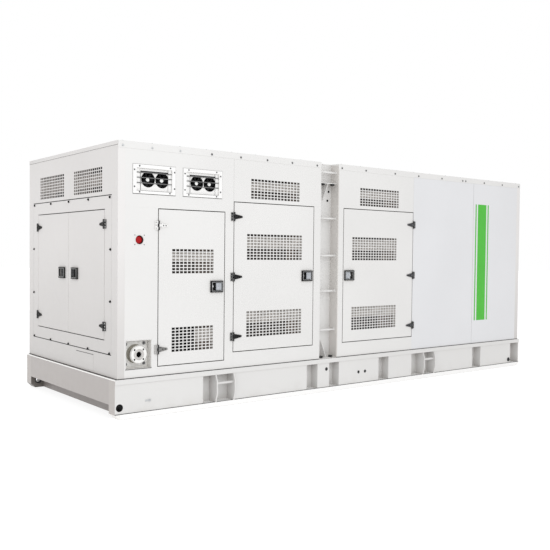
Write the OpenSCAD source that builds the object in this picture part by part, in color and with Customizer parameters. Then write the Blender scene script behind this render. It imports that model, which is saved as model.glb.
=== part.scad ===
// Sound-proof gas generator set: a skid base frame with a sheet-metal canopy on it.
// The origin is at the middle of the footprint, on the floor. The long axis is X,
// the control end faces -X, and the side with the opening doors faces -Y.
// Places along a side are measured from the control end of the canopy, heights from
// the top of the base frame, and depths inwards from the face of the canopy.

/* [Canopy] */
// Length of the canopy over its end walls
canopy_length = 6010; // [5960:10:6060]
// Width of the canopy over its side walls
canopy_width = 2140; // [2120:10:2200]
// Height of the canopy above the base frame
canopy_height = 2125; // [2100:5:2200]
// Thickness of a side wall with its sound-proof lining
wall_thickness = 58; // [56:1:62]
// Thickness of the roof sheet and its lining
roof_thickness = 15; // [10:1:20]
// Height of the folded lip along the front and rear edges of the roof
roof_lip_height = 37; // [25:1:45]

/* [Base frame] */
// Height of the base frame
base_height = 360; // [340:5:400]
// How far the base frame stands proud at each end of the canopy
base_end_step = 24; // [10:1:40]
// How far the base frame stands proud at each side of the canopy
base_side_step = 12; // [8:1:20]
// Depth of a side rail
rail_depth = 126; // [120:2:150]
// Depth of the pockets in a side rail
pocket_depth = 104; // [90:2:110]
// Height of the flange strip along the top of a rail
rail_top_strip = 46; // [40:1:60]
// Height of the runner along the bottom of a rail
rail_runner = 48; // [40:1:60]
// Diameter of the towing hole in the right rail
tow_hole_diameter = 70; // [60:1:78]
// Diameter of the round lifting bars
lifting_bar_diameter = 26; // [20:1:34]

/* [Doors] */
// Thickness of a door leaf
leaf_thickness = 50; // [45:1:50]
// Gap between a leaf and the edge of its opening
door_gap = 8; // [8:0.5:10]
// Width and height of a latch bezel
latch_width = 142; // [138:1:150]
latch_height = 112; // [108:1:118]
// Height of a hinge
hinge_height = 80; // [76:1:92]

/* [Vents] */
// Spacing of the punched vent holes along and up the sheet
vent_pitch_x = 42.5; // [42:0.25:43]
vent_pitch_z = 29.4; // [29:0.2:30]
// Width and height of one punched vent hole
vent_hole_width = 33; // [30:1:35]
vent_hole_height = 21; // [18:1:23]

/* [Ladder niche] */
// Clear width of the ladder niche
niche_width = 252; // [240:2:262]
// Clear depth of the ladder niche
niche_depth = 122; // [110:2:140]
// Diameter of a ladder rung
rung_diameter = 22; // [18:1:26]

/* [Control fans] */
// Diameter of the round opening in front of a fan
fan_opening = 142; // [130:2:142]
// Diameter of a fan rotor over its blades
fan_rotor_diameter = 122; // [112:2:122]

/* [Gas inlet] */
// Bore of the gas inlet flange
gas_bore = 54; // [40:1:54]
// Outer diameter of the gas inlet flange
gas_flange_diameter = 165; // [160:1:175]
// Bolt circle of the gas inlet flange
gas_bolt_circle = 125; // [124:1:127]
// Diameter of the bolt holes in the gas inlet flange
gas_bolt_hole = 18; // [16:1:19]

/* [Hidden] */
$fn = 48;

half_l = canopy_length / 2;
half_w = canopy_width / 2;
wall_top = canopy_height - roof_thickness;
end_wall_top = canopy_height - roof_lip_height;
end_wall_depth = 70;
thin_sheet = 3;
seal_depth = 12;
seal_lap = 30;
half_gap = door_gap / 2;
meeting_gap = 11;
cut = 1;
through = 400;

// Door gap lines: [near edge, far edge, bottom, top], along the side and up
DOOR_1 = [408, 1143, 89, 1537];
DOOR_2 = [1251, 2289, 162, 1642];
DOOR_3 = [2725, 3858, 162, 1644];
// The two front leaves meet on the middle line of the end wall
FRONT_LEFT = [-808, 0, 332, 1525];
FRONT_RIGHT = [0, 808, 332, 1525];

// Vents: [centre along, centre up, columns, rows, open rows at the bottom, open rows at the top]
VENTS_1 = [[784, 1057, 11, 8, 4, 1], [784, 325, 11, 8, 3, 1]];
VENTS_2 = [[1769, 1202, 17, 9, 4, 1], [1769, 429, 17, 9, 5, 0]];
VENTS_3 = [[3218, 1202, 17, 9, 4, 1], [3218, 421, 17, 9, 5, 0]];
WALL_VENT_2 = [1771, 1783, 15, 7, 3, 1];
WALL_VENT_3 = [3288, 1785, 15, 7, 3, 1];
END_VENTS = [[-438, 1802, 15, 8, 2, 2], [438, 1802, 15, 8, 2, 2]];
vent_skin = thin_sheet;
baffle_front = 34;
baffle_back = 42;

// Hinge heights on each door
HINGES_1 = [245, 1385];
HINGES_2 = [314, 904, 1497];
HINGES_3 = [299, 896, 1497];
HINGES_FRONT = [457, 1391];
hinge_axis_proud = 12;
hinge_plate = 6;
hinge_plate_start = 11;
hinge_frame_width = 36;
hinge_wing_length = 100;
// Half heights of a hinge strap at its root, where it bends in, and at its tip
wing_root = 0.31 * hinge_height;
wing_waist = 0.25 * hinge_height;
wing_tip = 8;
wing_bend = 0.4 * hinge_wing_length;
knuckle_radius = 7.5;
hinge_pin_radius = 4;
knuckle_third = hinge_height / 3;
knuckle_play = 1;
pin_play = 0.3;

// Latches: [centre along, centre up] of the bezel, and the side its paddle pivots on
LATCH_1 = [1050, 813];
LATCH_2 = [2197, 906];
LATCH_3 = [2814, 905];
LATCH_FRONT_LEFT = [-155, 925];
LATCH_FRONT_RIGHT = [155, 925];
bezel_proud = 14;
dish_near = -54;
dish_far = 59;
dish_half_height = 41;
dish_depth = 12;
paddle_near = -10;
paddle_far = 53;
paddle_half_height = 35;
paddle_front = -10;
paddle_back = -4;
paddle_axis_along = 50;
paddle_pin_radius = 3;
paddle_pin_half_length = 48;

// Ladder niche, between two lengths of side wall
niche_centre = 2514;
niche_sheet = 12;
niche_near = niche_centre - niche_width / 2;
niche_far = niche_centre + niche_width / 2;
rung_depth = 52;
RUNG_HEIGHTS = [310, 735, 1122, 1528, 2028];
step_shelf_height = 1912;
gusset_height = 190;
gusset_thickness = 8;
step_foot_radius = 22;
step_foot_height = 18;
step_foot_spacing = 142;
step_foot_depth = 39;

// Pockets in a side rail: [near edge, far edge]
RAIL_POCKETS = [[901, 1264], [2210, 2361], [2530, 2675], [3297, 3462],
                [3858, 4267], [5022, 5192], [5840, 6018]];
// Lifting pockets: [near edge, far edge] between their two cheek plates
LIFTING_POCKETS = [[1053, 1251], [4069, 4254]];
cheek_thickness = 13;
cheek_bulge = 25;
cheek_slope_top = 62;
cheek_slope_bottom = 84;
lifting_bar_height = -131;
// Towing holes: [along, up] in each rail; the left one is smaller
TOW_RIGHT = [22, -252];
TOW_LEFT = [58, -278];
tow_left_diameter = 66;
face_set_back = 6;
runner_chamfer = 46;
end_plate_drop = 235;
end_member_depth = 118;
cross_member_drop = 60;
end_plate_thickness = 20;
deck_thickness = 20;
CROSS_MEMBERS = [250, 1150, 2440, 3400, 4160, 5110, 5760];
cross_member_width = 80;

// Fan boxes: centres along the side
FAN_BOXES = [365, 886];
fan_box_height = 1797;
fan_box_flange = [438, 262];
fan_box_opening = [372, 205];
fan_pair_shift = 17;
fan_spacing = 145;
fan_plate_depth = 20;
fan_ring_length = 38;
fan_box_depth = 90;
FANS = [for (box = FAN_BOXES) for (side = [-1, 1]) box + fan_pair_shift + side * fan_spacing / 2];
fan_shaft_radius = 4;
GUARD_HEIGHTS = [1764, 1812, 1858];
guard_depth = 8;
guard_radius = 4;

// Gas inlet and stop button
GAS_CENTRE = [213, 213];
gas_box_size = 264;
gas_box_back = 86;
gas_face_depth = -8;
gas_raised_face_radius = 51;
gas_flange_thickness = 22;
gas_pipe_radius = 30;
gas_pipe_end = 150;
gas_pipe_cutout = 76;
gas_back_plate = 224;
gas_back_plate_thickness = 10;
STOP_CENTRE = [216, 1249];
stop_collar_radius = 46;
stop_collar_depth = 66;
stop_cup_radius = 42;
stop_cup_depth = 40;
stop_bore_radius = 20;
stop_bore_depth = 58;
stop_head_radius = 35;
stop_head_front = 14;
stop_head_back = 28;
stop_stem_radius = 14;
stop_stem_end = 46;

// Side panels behind the radiator, and the seam between them
plenum_seam = 5003;
seam_gap = 3;

// Machinery inside: [from, to, bottom, top] along the canopy and up from the deck
crank_height = 700;
ENGINE_BLOCK = [2560, 3860, 420, 1020];
engine_half_width = 300;
ENGINE_SUMP = [2700, 3760, 240, 421];
sump_half_width = 220;
cylinder_count = 6;
first_head = 2600;
head_pitch = 210;
head_length = 190;
head_top = 1190;
HEAD_SIDES = [-180, 150];
MANIFOLD = [2620, 3820, 900, 980];
manifold_depth = 100;
FLYWHEEL_HOUSING = [2450, 2561];
flywheel_housing_radius = 410;
damper_length = 59;
damper_radius = 260;
INTAKE_PIPE = [300, 1100];
intake_length = 900;
intake_radius = 95;
ENGINE_FOOT = [2620, 2780];
engine_foot_spacing = 1000;
engine_foot_across = 260;
engine_foot_half = 70;
ALTERNATOR = [1450, 2450];
alternator_radius = 390;
TERMINAL_BOX = [1600, 2250, 1060, 1340];
terminal_box_half = 300;
ALTERNATOR_FOOT = [1560, 1700, 0, 500];
alternator_foot_spacing = 620;
alternator_foot_across = 300;
alternator_foot_half = 60;
RADIATOR = [4420, 4600, 0, 1900];
radiator_half_width = 880;
radiator_rim = 80;
cowl_length = 80;
cowl_radius = 640;
cowl_height = 850;
CABINET = [260, 620, 200, 1560];
cabinet_half_width = 700;
cabinet_foot_inset = 20;
cabinet_foot_across = 600;
cabinet_foot_half = 60;

// Front and rear access panels
access_half_width = 950;
access_bottom = 208;
access_top = 1650;
access_joint = 2;
access_lip = 20;

// Roof discharge opening
DISCHARGE = [4900, 5880];
roof_joints = [2514, 4805];
discharge_half_width = 760;
GRILLE_BLADES = 22;
grille_below_top = 4;

// Colours
paint = [0.93, 0.93, 0.91];
base_paint = [0.88, 0.88, 0.86];
black_paint = [0.12, 0.12, 0.13];
zinc = [0.75, 0.75, 0.76];
signal_red = [0.75, 0.08, 0.07];
engine_grey = [0.45, 0.47, 0.46];

// ---------------------------------------------------------------- frames of reference

// Right side: X runs along from the control end, Y inwards, Z up from the base
module on_right_side() {
    translate([-half_l, -half_w, base_height]) children();
}

// Left side: the right side mirrored
module on_left_side() {
    mirror([0, 1, 0]) on_right_side() children();
}

// Front end: X runs towards the right side from the middle line, Y inwards
module on_front_end() {
    translate([-half_l, 0, base_height]) rotate([0, 0, -90]) children();
}

// Rear end: the front end turned half round
module on_rear_end() {
    rotate([0, 0, 180]) on_front_end() children();
}

// Slab standing on the wall line: from, to along; bottom, top; depth range
module slab(from, to, bottom, top, depth_from = 0, depth_to = wall_thickness) {
    translate([from, depth_from, bottom]) cube([to - from, depth_to - depth_from, top - bottom]);
}

// ---------------------------------------------------------------- shared sheet-metal forms

// Everything cut away to make one punched vent with its sound baffle behind
module vent_cut(vent, depth) {
    width = vent[2] * vent_pitch_x;
    height = vent[3] * vent_pitch_z;
    left = vent[0] - width / 2;
    bottom = vent[1] - height / 2;
    slab(left, left + width, bottom, bottom + height, vent_skin, baffle_front);
    if (vent[4] > 0)
        slab(left, left + width, bottom, bottom + vent[4] * vent_pitch_z, baffle_front - cut, depth + cut);
    if (vent[5] > 0)
        slab(left, left + width, bottom + height - vent[5] * vent_pitch_z, bottom + height,
             baffle_front - cut, depth + cut);
    translate([left, vent_skin + cut, bottom]) rotate([90, 0, 0])
        linear_extrude(height = vent_skin + 2 * cut)
            for (column = [0 : vent[2] - 1], row = [0 : vent[3] - 1])
                translate([(column + 0.5) * vent_pitch_x - vent_hole_width / 2,
                           (row + 0.5) * vent_pitch_z - vent_hole_height / 2])
                    square([vent_hole_width, vent_hole_height]);
}

// A flat door leaf inside its gap lines, with its punched vents and the dish of its latch
module door_leaf(door, vents, latch, side) {
    difference() {
        slab(door[0] + half_gap, door[1] - half_gap, door[2] + half_gap, door[3] - half_gap,
             0, leaf_thickness);
        for (vent = vents) vent_cut(vent, leaf_thickness);
        at_latch(latch, side) latch_dish();
    }
}

// Seal frame that the leaf closes against, lapping its opening
module seal_frame(from, to, bottom, top) {
    difference() {
        slab(from - seal_lap, to + seal_lap, bottom - seal_lap, top + seal_lap,
             wall_thickness, wall_thickness + seal_depth);
        slab(from + seal_lap, to - seal_lap, bottom + seal_lap, top - seal_lap,
             wall_thickness - cut, wall_thickness + seal_depth + cut);
    }
}

// ---------------------------------------------------------------- door hardware

module knuckle(bottom, top, radius) {
    translate([0, -hinge_axis_proud, bottom]) cylinder(h = top - bottom, r = radius);
}

// Fixed half of a hinge: plate on the frame, two knuckles and the pin.
// side is 1 where the leaf lies towards +X of the gap line, -1 where it lies towards -X
module hinge_frame_half(along, height, side) {
    translate([along, 0, height - hinge_height / 2]) mirror([side < 0 ? 1 : 0, 0, 0]) {
        slab(-hinge_frame_width, -hinge_plate_start, 0, hinge_height, -hinge_plate, 0);
        for (z = [0, 2 * knuckle_third + knuckle_play]) {
            knuckle(z, z + knuckle_third - knuckle_play, knuckle_radius);
            slab(-hinge_frame_width / 2, 0, z, z + knuckle_third - knuckle_play, -hinge_axis_proud, -cut);
        }
        knuckle(0, hinge_height, hinge_pin_radius);
    }
}

// Moving half of a hinge: tapered strap on the leaf and the middle knuckle
module hinge_wing(along, height, side) {
    translate([along, 0, height]) mirror([side < 0 ? 1 : 0, 0, 0])
        difference() {
            union() {
                rotate([90, 0, 0]) linear_extrude(height = hinge_plate)
                    polygon([[hinge_plate_start, -wing_root], [wing_bend, -wing_waist], [hinge_wing_length, -wing_tip],
                             [hinge_wing_length, wing_tip], [wing_bend, wing_waist], [hinge_plate_start, wing_root]]);
                knuckle(-knuckle_third / 2 + knuckle_play, knuckle_third / 2 - knuckle_play, knuckle_radius);
                slab(0, wing_bend, -knuckle_third / 2 + knuckle_play,
                     knuckle_third / 2 - knuckle_play, -hinge_axis_proud, -cut);
            }
            knuckle(-hinge_height, hinge_height, hinge_pin_radius + pin_play);
        }
}

// Dished pocket of a latch, cut through its bezel and into the leaf
module latch_dish() {
    slab(dish_near, dish_far, -dish_half_height, dish_half_height, -bezel_proud - cut, dish_depth);
}

// Places a latch; side is 1 where the paddle points to the far edge of the door
module at_latch(latch, side) {
    translate([latch[0], 0, latch[1]]) mirror([side < 0 ? 1 : 0, 0, 0]) children();
}

// Bezel of a paddle latch, with the two blind holes of the paddle's pin
module latch_bezel(latch, side) {
    at_latch(latch, side)
        difference() {
            slab(-latch_width / 2, latch_width / 2, -latch_height / 2, latch_height / 2, -bezel_proud, 0);
            latch_dish();
            translate([paddle_axis_along, -bezel_proud / 2, -paddle_pin_half_length - cut])
                cylinder(h = 2 * (paddle_pin_half_length + cut), r = paddle_pin_radius + pin_play);
        }
}

module latch_paddle(latch, side) {
    at_latch(latch, side) {
        slab(paddle_near, paddle_far, -paddle_half_height, paddle_half_height, paddle_front, paddle_back);
        translate([paddle_axis_along, -bezel_proud / 2, -paddle_pin_half_length])
            cylinder(h = 2 * paddle_pin_half_length, r = paddle_pin_radius);
    }
}

// Hinges and bezel of one door; side is 1 where the hinges are at its near edge
module door_hardware(door, hinges, latch, side) {
    for (height = hinges) hinge_wing(side > 0 ? door[0] : door[1], height, side);
    latch_bezel(latch, side);
}

// ---------------------------------------------------------------- base frame

module side_rail(tow, tow_diameter) {
    front = -base_side_step + face_set_back;
    difference() {
        union() {
            slab(-base_end_step, canopy_length + base_end_step, -base_height, 0,
                 front, rail_depth - base_side_step);
            slab(-base_end_step, canopy_length + base_end_step, -rail_top_strip, 0, -base_side_step, 0);
            slab(-base_end_step, canopy_length + base_end_step, -base_height,
                 rail_runner - base_height, -base_side_step, 0);
        }
        for (pocket = RAIL_POCKETS)
            slab(pocket[0], pocket[1], rail_runner - base_height, -rail_top_strip,
                 -base_side_step - cut, front + pocket_depth);
        for (end = [-base_end_step, canopy_length + base_end_step])
            translate([end, rail_depth, -base_height]) rotate([90, 0, 0])
                linear_extrude(height = 2 * rail_depth)
                    polygon([[-runner_chamfer, 0], [0, -runner_chamfer], [runner_chamfer, 0],
                             [0, runner_chamfer]]);
        translate([tow[0], rail_depth, tow[1]]) rotate([90, 0, 0])
            cylinder(h = 2 * rail_depth, d = tow_diameter);
    }
}

module side_rail_right() {
    color(base_paint) on_right_side() side_rail(TOW_RIGHT, tow_hole_diameter);
}

module side_rail_left() {
    color(base_paint) on_left_side() side_rail(TOW_LEFT, tow_left_diameter);
}

// Beam across one end, between the rails: a deep plate, and a member behind it that reaches the ground
module end_beam() {
    reach = half_w + base_side_step - rail_depth;
    slab(-reach, reach, -end_plate_drop, 0, -base_end_step, end_plate_thickness - base_end_step);
    slab(-reach, reach, -base_height, -deck_thickness, end_member_depth,
         end_member_depth + end_plate_thickness);
}

module end_beams() {
    color(base_paint) {
        on_front_end() end_beam();
        on_rear_end() end_beam();
    }
}

// Cross members under the deck, between the rails
module cross_members() {
    inner = rail_depth - base_side_step;
    color(base_paint) on_right_side()
        for (along = CROSS_MEMBERS)
            slab(along - cross_member_width / 2, along + cross_member_width / 2,
                 cross_member_drop - base_height, -deck_thickness, inner, canopy_width - inner);
}

module floor_deck() {
    inner = rail_depth - base_side_step;
    color(base_paint) on_right_side()
        slab(end_plate_thickness - base_end_step, canopy_length + base_end_step - end_plate_thickness,
             -deck_thickness, 0, inner, canopy_width - inner);
}

// One lifting point: two cheek plates that bulge out of the pocket, and the round bar between them
module lifting_point(near, far) {
    back = -base_side_step + face_set_back + pocket_depth;
    for (along = [near - cheek_thickness, far])
        translate([along, 0, 0]) rotate([90, 0, 90]) linear_extrude(height = cheek_thickness)
            polygon([[back, -rail_top_strip], [-base_side_step, -rail_top_strip],
                     [-base_side_step - cheek_bulge, -rail_top_strip - cheek_slope_top],
                     [-base_side_step - cheek_bulge, rail_runner - base_height + cheek_slope_bottom],
                     [-base_side_step, rail_runner - base_height], [back, rail_runner - base_height]]);
    translate([near - cheek_thickness, 0, lifting_bar_height]) rotate([0, 90, 0])
        cylinder(h = far - near + 2 * cheek_thickness, d = lifting_bar_diameter);
}

module lifting_bars() {
    color(base_paint) {
        on_right_side() for (pocket = LIFTING_POCKETS) lifting_point(pocket[0], pocket[1]);
        on_left_side() for (pocket = LIFTING_POCKETS) lifting_point(pocket[0], pocket[1]);
    }
}

// ---------------------------------------------------------------- right side wall

// Posts between the openings, with the gas inlet and stop button let into the first
module right_wall_posts() {
    color(paint) on_right_side() {
        difference() {
            slab(end_wall_depth, DOOR_1[0] - half_gap, 0, DOOR_1[3] + half_gap);
            slab(GAS_CENTRE[0] - gas_box_size / 2, GAS_CENTRE[0] + gas_box_size / 2,
                 GAS_CENTRE[1] - gas_box_size / 2, GAS_CENTRE[1] + gas_box_size / 2, -cut, through);
            translate([STOP_CENTRE[0], through, STOP_CENTRE[1]]) rotate([90, 0, 0])
                cylinder(h = 2 * through, r = stop_collar_radius);
        }
        slab(DOOR_1[1] + half_gap, DOOR_2[0] - half_gap, 0, DOOR_1[3] + half_gap);
        slab(DOOR_2[1] + half_gap, niche_near - niche_sheet, 0, DOOR_2[3] + half_gap);
        slab(niche_far + niche_sheet, DOOR_3[0] - half_gap, 0, DOOR_3[3] + half_gap);
    }
}

// Panels over the doors, with the fan openings and the upper vents
module right_wall_headers() {
    header_joint = DOOR_2[0] - half_gap - 1;
    color(paint) on_right_side() {
        difference() {
            slab(end_wall_depth, header_joint, DOOR_1[3] + half_gap, wall_top);
            for (along = FAN_BOXES)
                slab(along - fan_box_opening[0] / 2, along + fan_box_opening[0] / 2,
                     fan_box_height - fan_box_opening[1] / 2, fan_box_height + fan_box_opening[1] / 2,
                     -cut, through);
        }
        difference() {
            slab(header_joint + 1, niche_near - niche_sheet, DOOR_2[3] + half_gap, wall_top);
            vent_cut(WALL_VENT_2, wall_thickness);
        }
        difference() {
            slab(niche_far + niche_sheet, DOOR_3[1] + half_gap - 1, DOOR_3[3] + half_gap, wall_top);
            vent_cut(WALL_VENT_3, wall_thickness);
        }
    }
}

module right_wall_sills() {
    color(paint) on_right_side()
        for (door = [DOOR_1, DOOR_2, DOOR_3])
            slab(door[0] - half_gap, door[1] + half_gap, 0, door[2] - half_gap);
}

module right_plenum_panels() {
    color(paint) on_right_side() {
        slab(DOOR_3[1] + half_gap, plenum_seam - seam_gap / 2, 0, wall_top);
        slab(plenum_seam + seam_gap / 2, canopy_length - end_wall_depth, 0, wall_top);
    }
}

module door_seal_frames() {
    color(black_paint) {
        on_right_side()
            for (door = [DOOR_1, DOOR_2, DOOR_3])
                seal_frame(door[0], door[1], door[2], door[3]);
        on_front_end()
            seal_frame(FRONT_LEFT[0], FRONT_RIGHT[1], FRONT_LEFT[2], FRONT_LEFT[3]);
    }
}

// ---------------------------------------------------------------- left side wall

// Opening in which a fixed leaf of the left side sits
module leaf_recess(door) {
    slab(door[0] - half_gap, door[1] + half_gap, door[2] - half_gap, door[3] + half_gap,
         -cut, leaf_thickness);
}

module left_wall() {
    color(paint) on_left_side() {
        difference() {
            slab(end_wall_depth, niche_near - niche_sheet, 0, wall_top);
            leaf_recess(DOOR_1);
            leaf_recess(DOOR_2);
            vent_cut(WALL_VENT_2, wall_thickness);
        }
        difference() {
            slab(niche_far + niche_sheet, plenum_seam - seam_gap / 2, 0, wall_top);
            leaf_recess(DOOR_3);
            vent_cut(WALL_VENT_3, wall_thickness);
        }
        slab(plenum_seam + seam_gap / 2, canopy_length - end_wall_depth, 0, wall_top);
    }
}

module left_doors() {
    color(paint) on_left_side() {
        door_leaf(DOOR_1, VENTS_1, LATCH_1, 1);
        door_leaf(DOOR_2, VENTS_2, LATCH_2, 1);
        door_leaf(DOOR_3, VENTS_3, LATCH_3, -1);
    }
}

module left_door_hardware() {
    color(black_paint) on_left_side() {
        for (height = HINGES_1) hinge_frame_half(DOOR_1[0], height, 1);
        for (height = HINGES_2) hinge_frame_half(DOOR_2[0], height, 1);
        for (height = HINGES_3) hinge_frame_half(DOOR_3[1], height, -1);
        door_hardware(DOOR_1, HINGES_1, LATCH_1, 1);
        door_hardware(DOOR_2, HINGES_2, LATCH_2, 1);
        door_hardware(DOOR_3, HINGES_3, LATCH_3, -1);
        latch_paddle(LATCH_1, 1);
        latch_paddle(LATCH_2, 1);
        latch_paddle(LATCH_3, -1);
    }
}

// ---------------------------------------------------------------- end walls

// End wall with its two vents and a stepped opening for the access panel
module end_wall() {
    difference() {
        slab(-half_w, half_w, 0, end_wall_top, 0, end_wall_depth);
        for (vent = END_VENTS) vent_cut(vent, end_wall_depth);
        slab(-access_half_width, access_half_width, access_bottom, access_top, -cut, wall_thickness);
        slab(access_lip - access_half_width, access_half_width - access_lip,
             access_bottom + access_lip, access_top - access_lip, 0, end_wall_depth + cut);
    }
}

module access_panel() {
    slab(access_joint - access_half_width, access_half_width - access_joint,
         access_bottom + access_joint, access_top - access_joint, 0, wall_thickness);
}

module front_end_wall() {
    color(paint) on_front_end() end_wall();
}

module front_access_panel() {
    color(paint) on_front_end()
        difference() {
            access_panel();
            slab(FRONT_LEFT[0] - half_gap, FRONT_RIGHT[1] + half_gap,
                 FRONT_LEFT[2] - half_gap, FRONT_LEFT[3] + half_gap, -cut, through);
        }
}

module rear_end_wall() {
    color(paint) on_rear_end() end_wall();
}

module rear_access_panel() {
    color(paint) on_rear_end() access_panel();
}

// ---------------------------------------------------------------- ladder niches

// Step bracket: a shelf on a gusset with two round feet; up is 1 or, upside down, -1
module step_bracket(height, up) {
    translate([0, 0, height]) mirror([0, 0, up > 0 ? 0 : 1]) {
        slab(niche_near - cut, niche_far + cut, -gusset_thickness, 0, rung_depth / 2, niche_depth + cut);
        translate([niche_centre - gusset_thickness / 2, 0, 0]) rotate([90, 0, 90])
            linear_extrude(height = gusset_thickness)
                polygon([[niche_depth + cut, -gusset_thickness / 2], [rung_depth / 2, -gusset_thickness / 2],
                         [niche_depth - cut, -gusset_height], [niche_depth + cut, -gusset_height]]);
        for (side = [-0.5, 0.5])
            translate([niche_centre + side * step_foot_spacing, step_foot_depth,
                       -gusset_thickness - step_foot_height])
                cylinder(h = step_foot_height + cut, r = step_foot_radius);
    }
}

module ladder_niche() {
    near = niche_near - niche_sheet;
    far = niche_far + niche_sheet;
    slab(near, niche_near, 0, wall_top, 0, niche_depth + niche_sheet);
    slab(niche_far, far, 0, wall_top, 0, niche_depth + niche_sheet);
    slab(near, far, 0, wall_top, niche_depth, niche_depth + niche_sheet);
    step_bracket(step_shelf_height, 1);
    step_bracket(0, -1);
}

module ladder_niches() {
    color(paint) {
        on_right_side() ladder_niche();
        on_left_side() ladder_niche();
    }
}

module ladder() {
    for (height = RUNG_HEIGHTS)
        translate([niche_near, rung_depth, height]) rotate([0, 90, 0])
            cylinder(h = niche_width, d = rung_diameter);
}

module ladder_rungs() {
    color(paint) {
        on_right_side() ladder();
        on_left_side() ladder();
    }
}

// ---------------------------------------------------------------- roof

// The whole roof sheet with its end lips, notched for the ladder niches
module roof_sheet() {
    difference() {
        union() {
            slab(0, canopy_length, wall_top, canopy_height, 0, canopy_width);
            for (from = [0, canopy_length - end_wall_depth])
                slab(from, from + end_wall_depth, end_wall_top, canopy_height, 0, canopy_width);
        }
        for (depth = [-cut, canopy_width - niche_depth])
            slab(niche_near, niche_far, 0, canopy_height + cut, depth, depth + niche_depth + cut);
        slab(DISCHARGE[0], DISCHARGE[1], 0, canopy_height + cut,
             half_w - discharge_half_width, half_w + discharge_half_width);
        for (joint = roof_joints)
            slab(joint - seam_gap / 2, joint + seam_gap / 2, 0, canopy_height + cut, -cut, canopy_width + cut);
    }
}

module roof_panels() {
    color(paint) on_right_side() roof_sheet();
}

// Upright bar of the grille: let into the frame below the roof sheet, and clear of the sheet above
module grille_bar(corner, size, depth) {
    translate([corner[0] - cut, corner[1] - cut, wall_top - depth])
        cube([size[0] + 2 * cut, size[1] + 2 * cut, depth - cut]);
    translate([corner[0] + cut / 2, corner[1] + cut / 2, wall_top - depth])
        cube([size[0] - cut, size[1] - cut, depth + roof_thickness - grille_below_top]);
}

// Blades across the discharge opening, in a frame hung under the roof sheet
module roof_discharge_grille() {
    frame = 24;
    blade = 4;
    bar = 6;
    length = DISCHARGE[1] - DISCHARGE[0];
    pitch = length / GRILLE_BLADES;
    color(paint) on_right_side() {
        difference() {
            slab(DISCHARGE[0] - frame, DISCHARGE[1] + frame, wall_top - 2 * frame, wall_top,
                 half_w - discharge_half_width - frame, half_w + discharge_half_width + frame);
            slab(DISCHARGE[0], DISCHARGE[1], 0, canopy_height,
                 half_w - discharge_half_width, half_w + discharge_half_width);
        }
        for (i = [1 : GRILLE_BLADES - 1])
            grille_bar([DISCHARGE[0] + i * pitch - blade / 2, half_w - discharge_half_width],
                       [blade, 2 * discharge_half_width], frame);
        for (i = [-1 : 1])
            grille_bar([DISCHARGE[0], half_w + (i * discharge_half_width - bar) / 2], [length, bar], frame);
    }
}

// ---------------------------------------------------------------- control fans

module fan_axis_cylinder(along, from, to, radius) {
    translate([along, to, fan_box_height]) rotate([90, 0, 0]) cylinder(h = to - from, r = radius);
}

// Sheet box let into the header, with a flange outside and a plate that carries two fans
module fan_housings() {
    sheet = thin_sheet;
    half = [fan_box_opening[0] / 2, fan_box_opening[1] / 2];
    color(paint) on_right_side()
        for (along = FAN_BOXES)
            difference() {
                union() {
                    slab(along - fan_box_flange[0] / 2, along + fan_box_flange[0] / 2,
                         fan_box_height - fan_box_flange[1] / 2, fan_box_height + fan_box_flange[1] / 2,
                         -sheet, 0);
                    slab(along - half[0], along + half[0], fan_box_height - half[1],
                         fan_box_height + half[1], -sheet, fan_box_depth);
                }
                slab(along - half[0] + sheet, along + half[0] - sheet, fan_box_height - half[1] + sheet,
                     fan_box_height + half[1] - sheet, -sheet - cut, fan_plate_depth);
                slab(along - half[0] + sheet, along + half[0] - sheet, fan_box_height - half[1] + sheet,
                     fan_box_height + half[1] - sheet, fan_plate_depth + sheet, fan_box_depth + cut);
                for (side = [-0.5, 0.5])
                    fan_axis_cylinder(along + fan_pair_shift + side * fan_spacing, 0, fan_box_depth,
                                      fan_opening / 2);
            }
}

// Fan frames behind the plate: a ring, three arms and the shaft that the rotor turns on
module fan_frames() {
    front = fan_plate_depth + thin_sheet;
    back = front + fan_ring_length;
    arm = 6;
    ring = fan_opening / 2 - 4;
    ring_wall = 5;
    motor_radius = 26;
    shaft_end = 8;
    color(black_paint) on_right_side()
        for (along = FANS) {
            difference() {
                fan_axis_cylinder(along, front, back, ring + ring_wall);
                fan_axis_cylinder(along, front - cut, back + cut, ring);
            }
            fan_axis_cylinder(along, back - arm, back, motor_radius);
            fan_axis_cylinder(along, front + shaft_end, back - cut, fan_shaft_radius);
            for (turn = [30, 150, 270])
                translate([along, 0, fan_box_height]) rotate([0, turn, 0])
                    slab(motor_radius - arm, ring + cut, -arm / 2, arm / 2, back - arm, back);
        }
}

module fan_rotor(index) {
    along = FANS[index];
    front = fan_plate_depth + 9;
    hub_radius = 27;
    hub_length = 20;
    hub_wall = 2;
    blade_count = 7;
    blade_chord = 22;
    blade_pitch = 35;
    blade_thickness = 2.4;
    color(black_paint) on_right_side() difference() {
        union() {
            fan_axis_cylinder(along, front, front + hub_length, hub_radius);
            for (i = [0 : blade_count - 1])
                translate([along, front + hub_length / 2, fan_box_height])
                    rotate([0, i * 360 / blade_count, 0]) rotate([blade_pitch, 0, 0])
                        translate([hub_radius - hub_wall, -blade_chord / 2, -blade_thickness / 2])
                            cube([fan_rotor_diameter / 2 - hub_radius + hub_wall, blade_chord,
                                  blade_thickness]);
        }
        fan_axis_cylinder(along, front + hub_wall, front + fan_ring_length, fan_shaft_radius + pin_play);
    }
}

module fan_rotor_1() fan_rotor(0);
module fan_rotor_2() fan_rotor(1);
module fan_rotor_3() fan_rotor(2);
module fan_rotor_4() fan_rotor(3);

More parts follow.
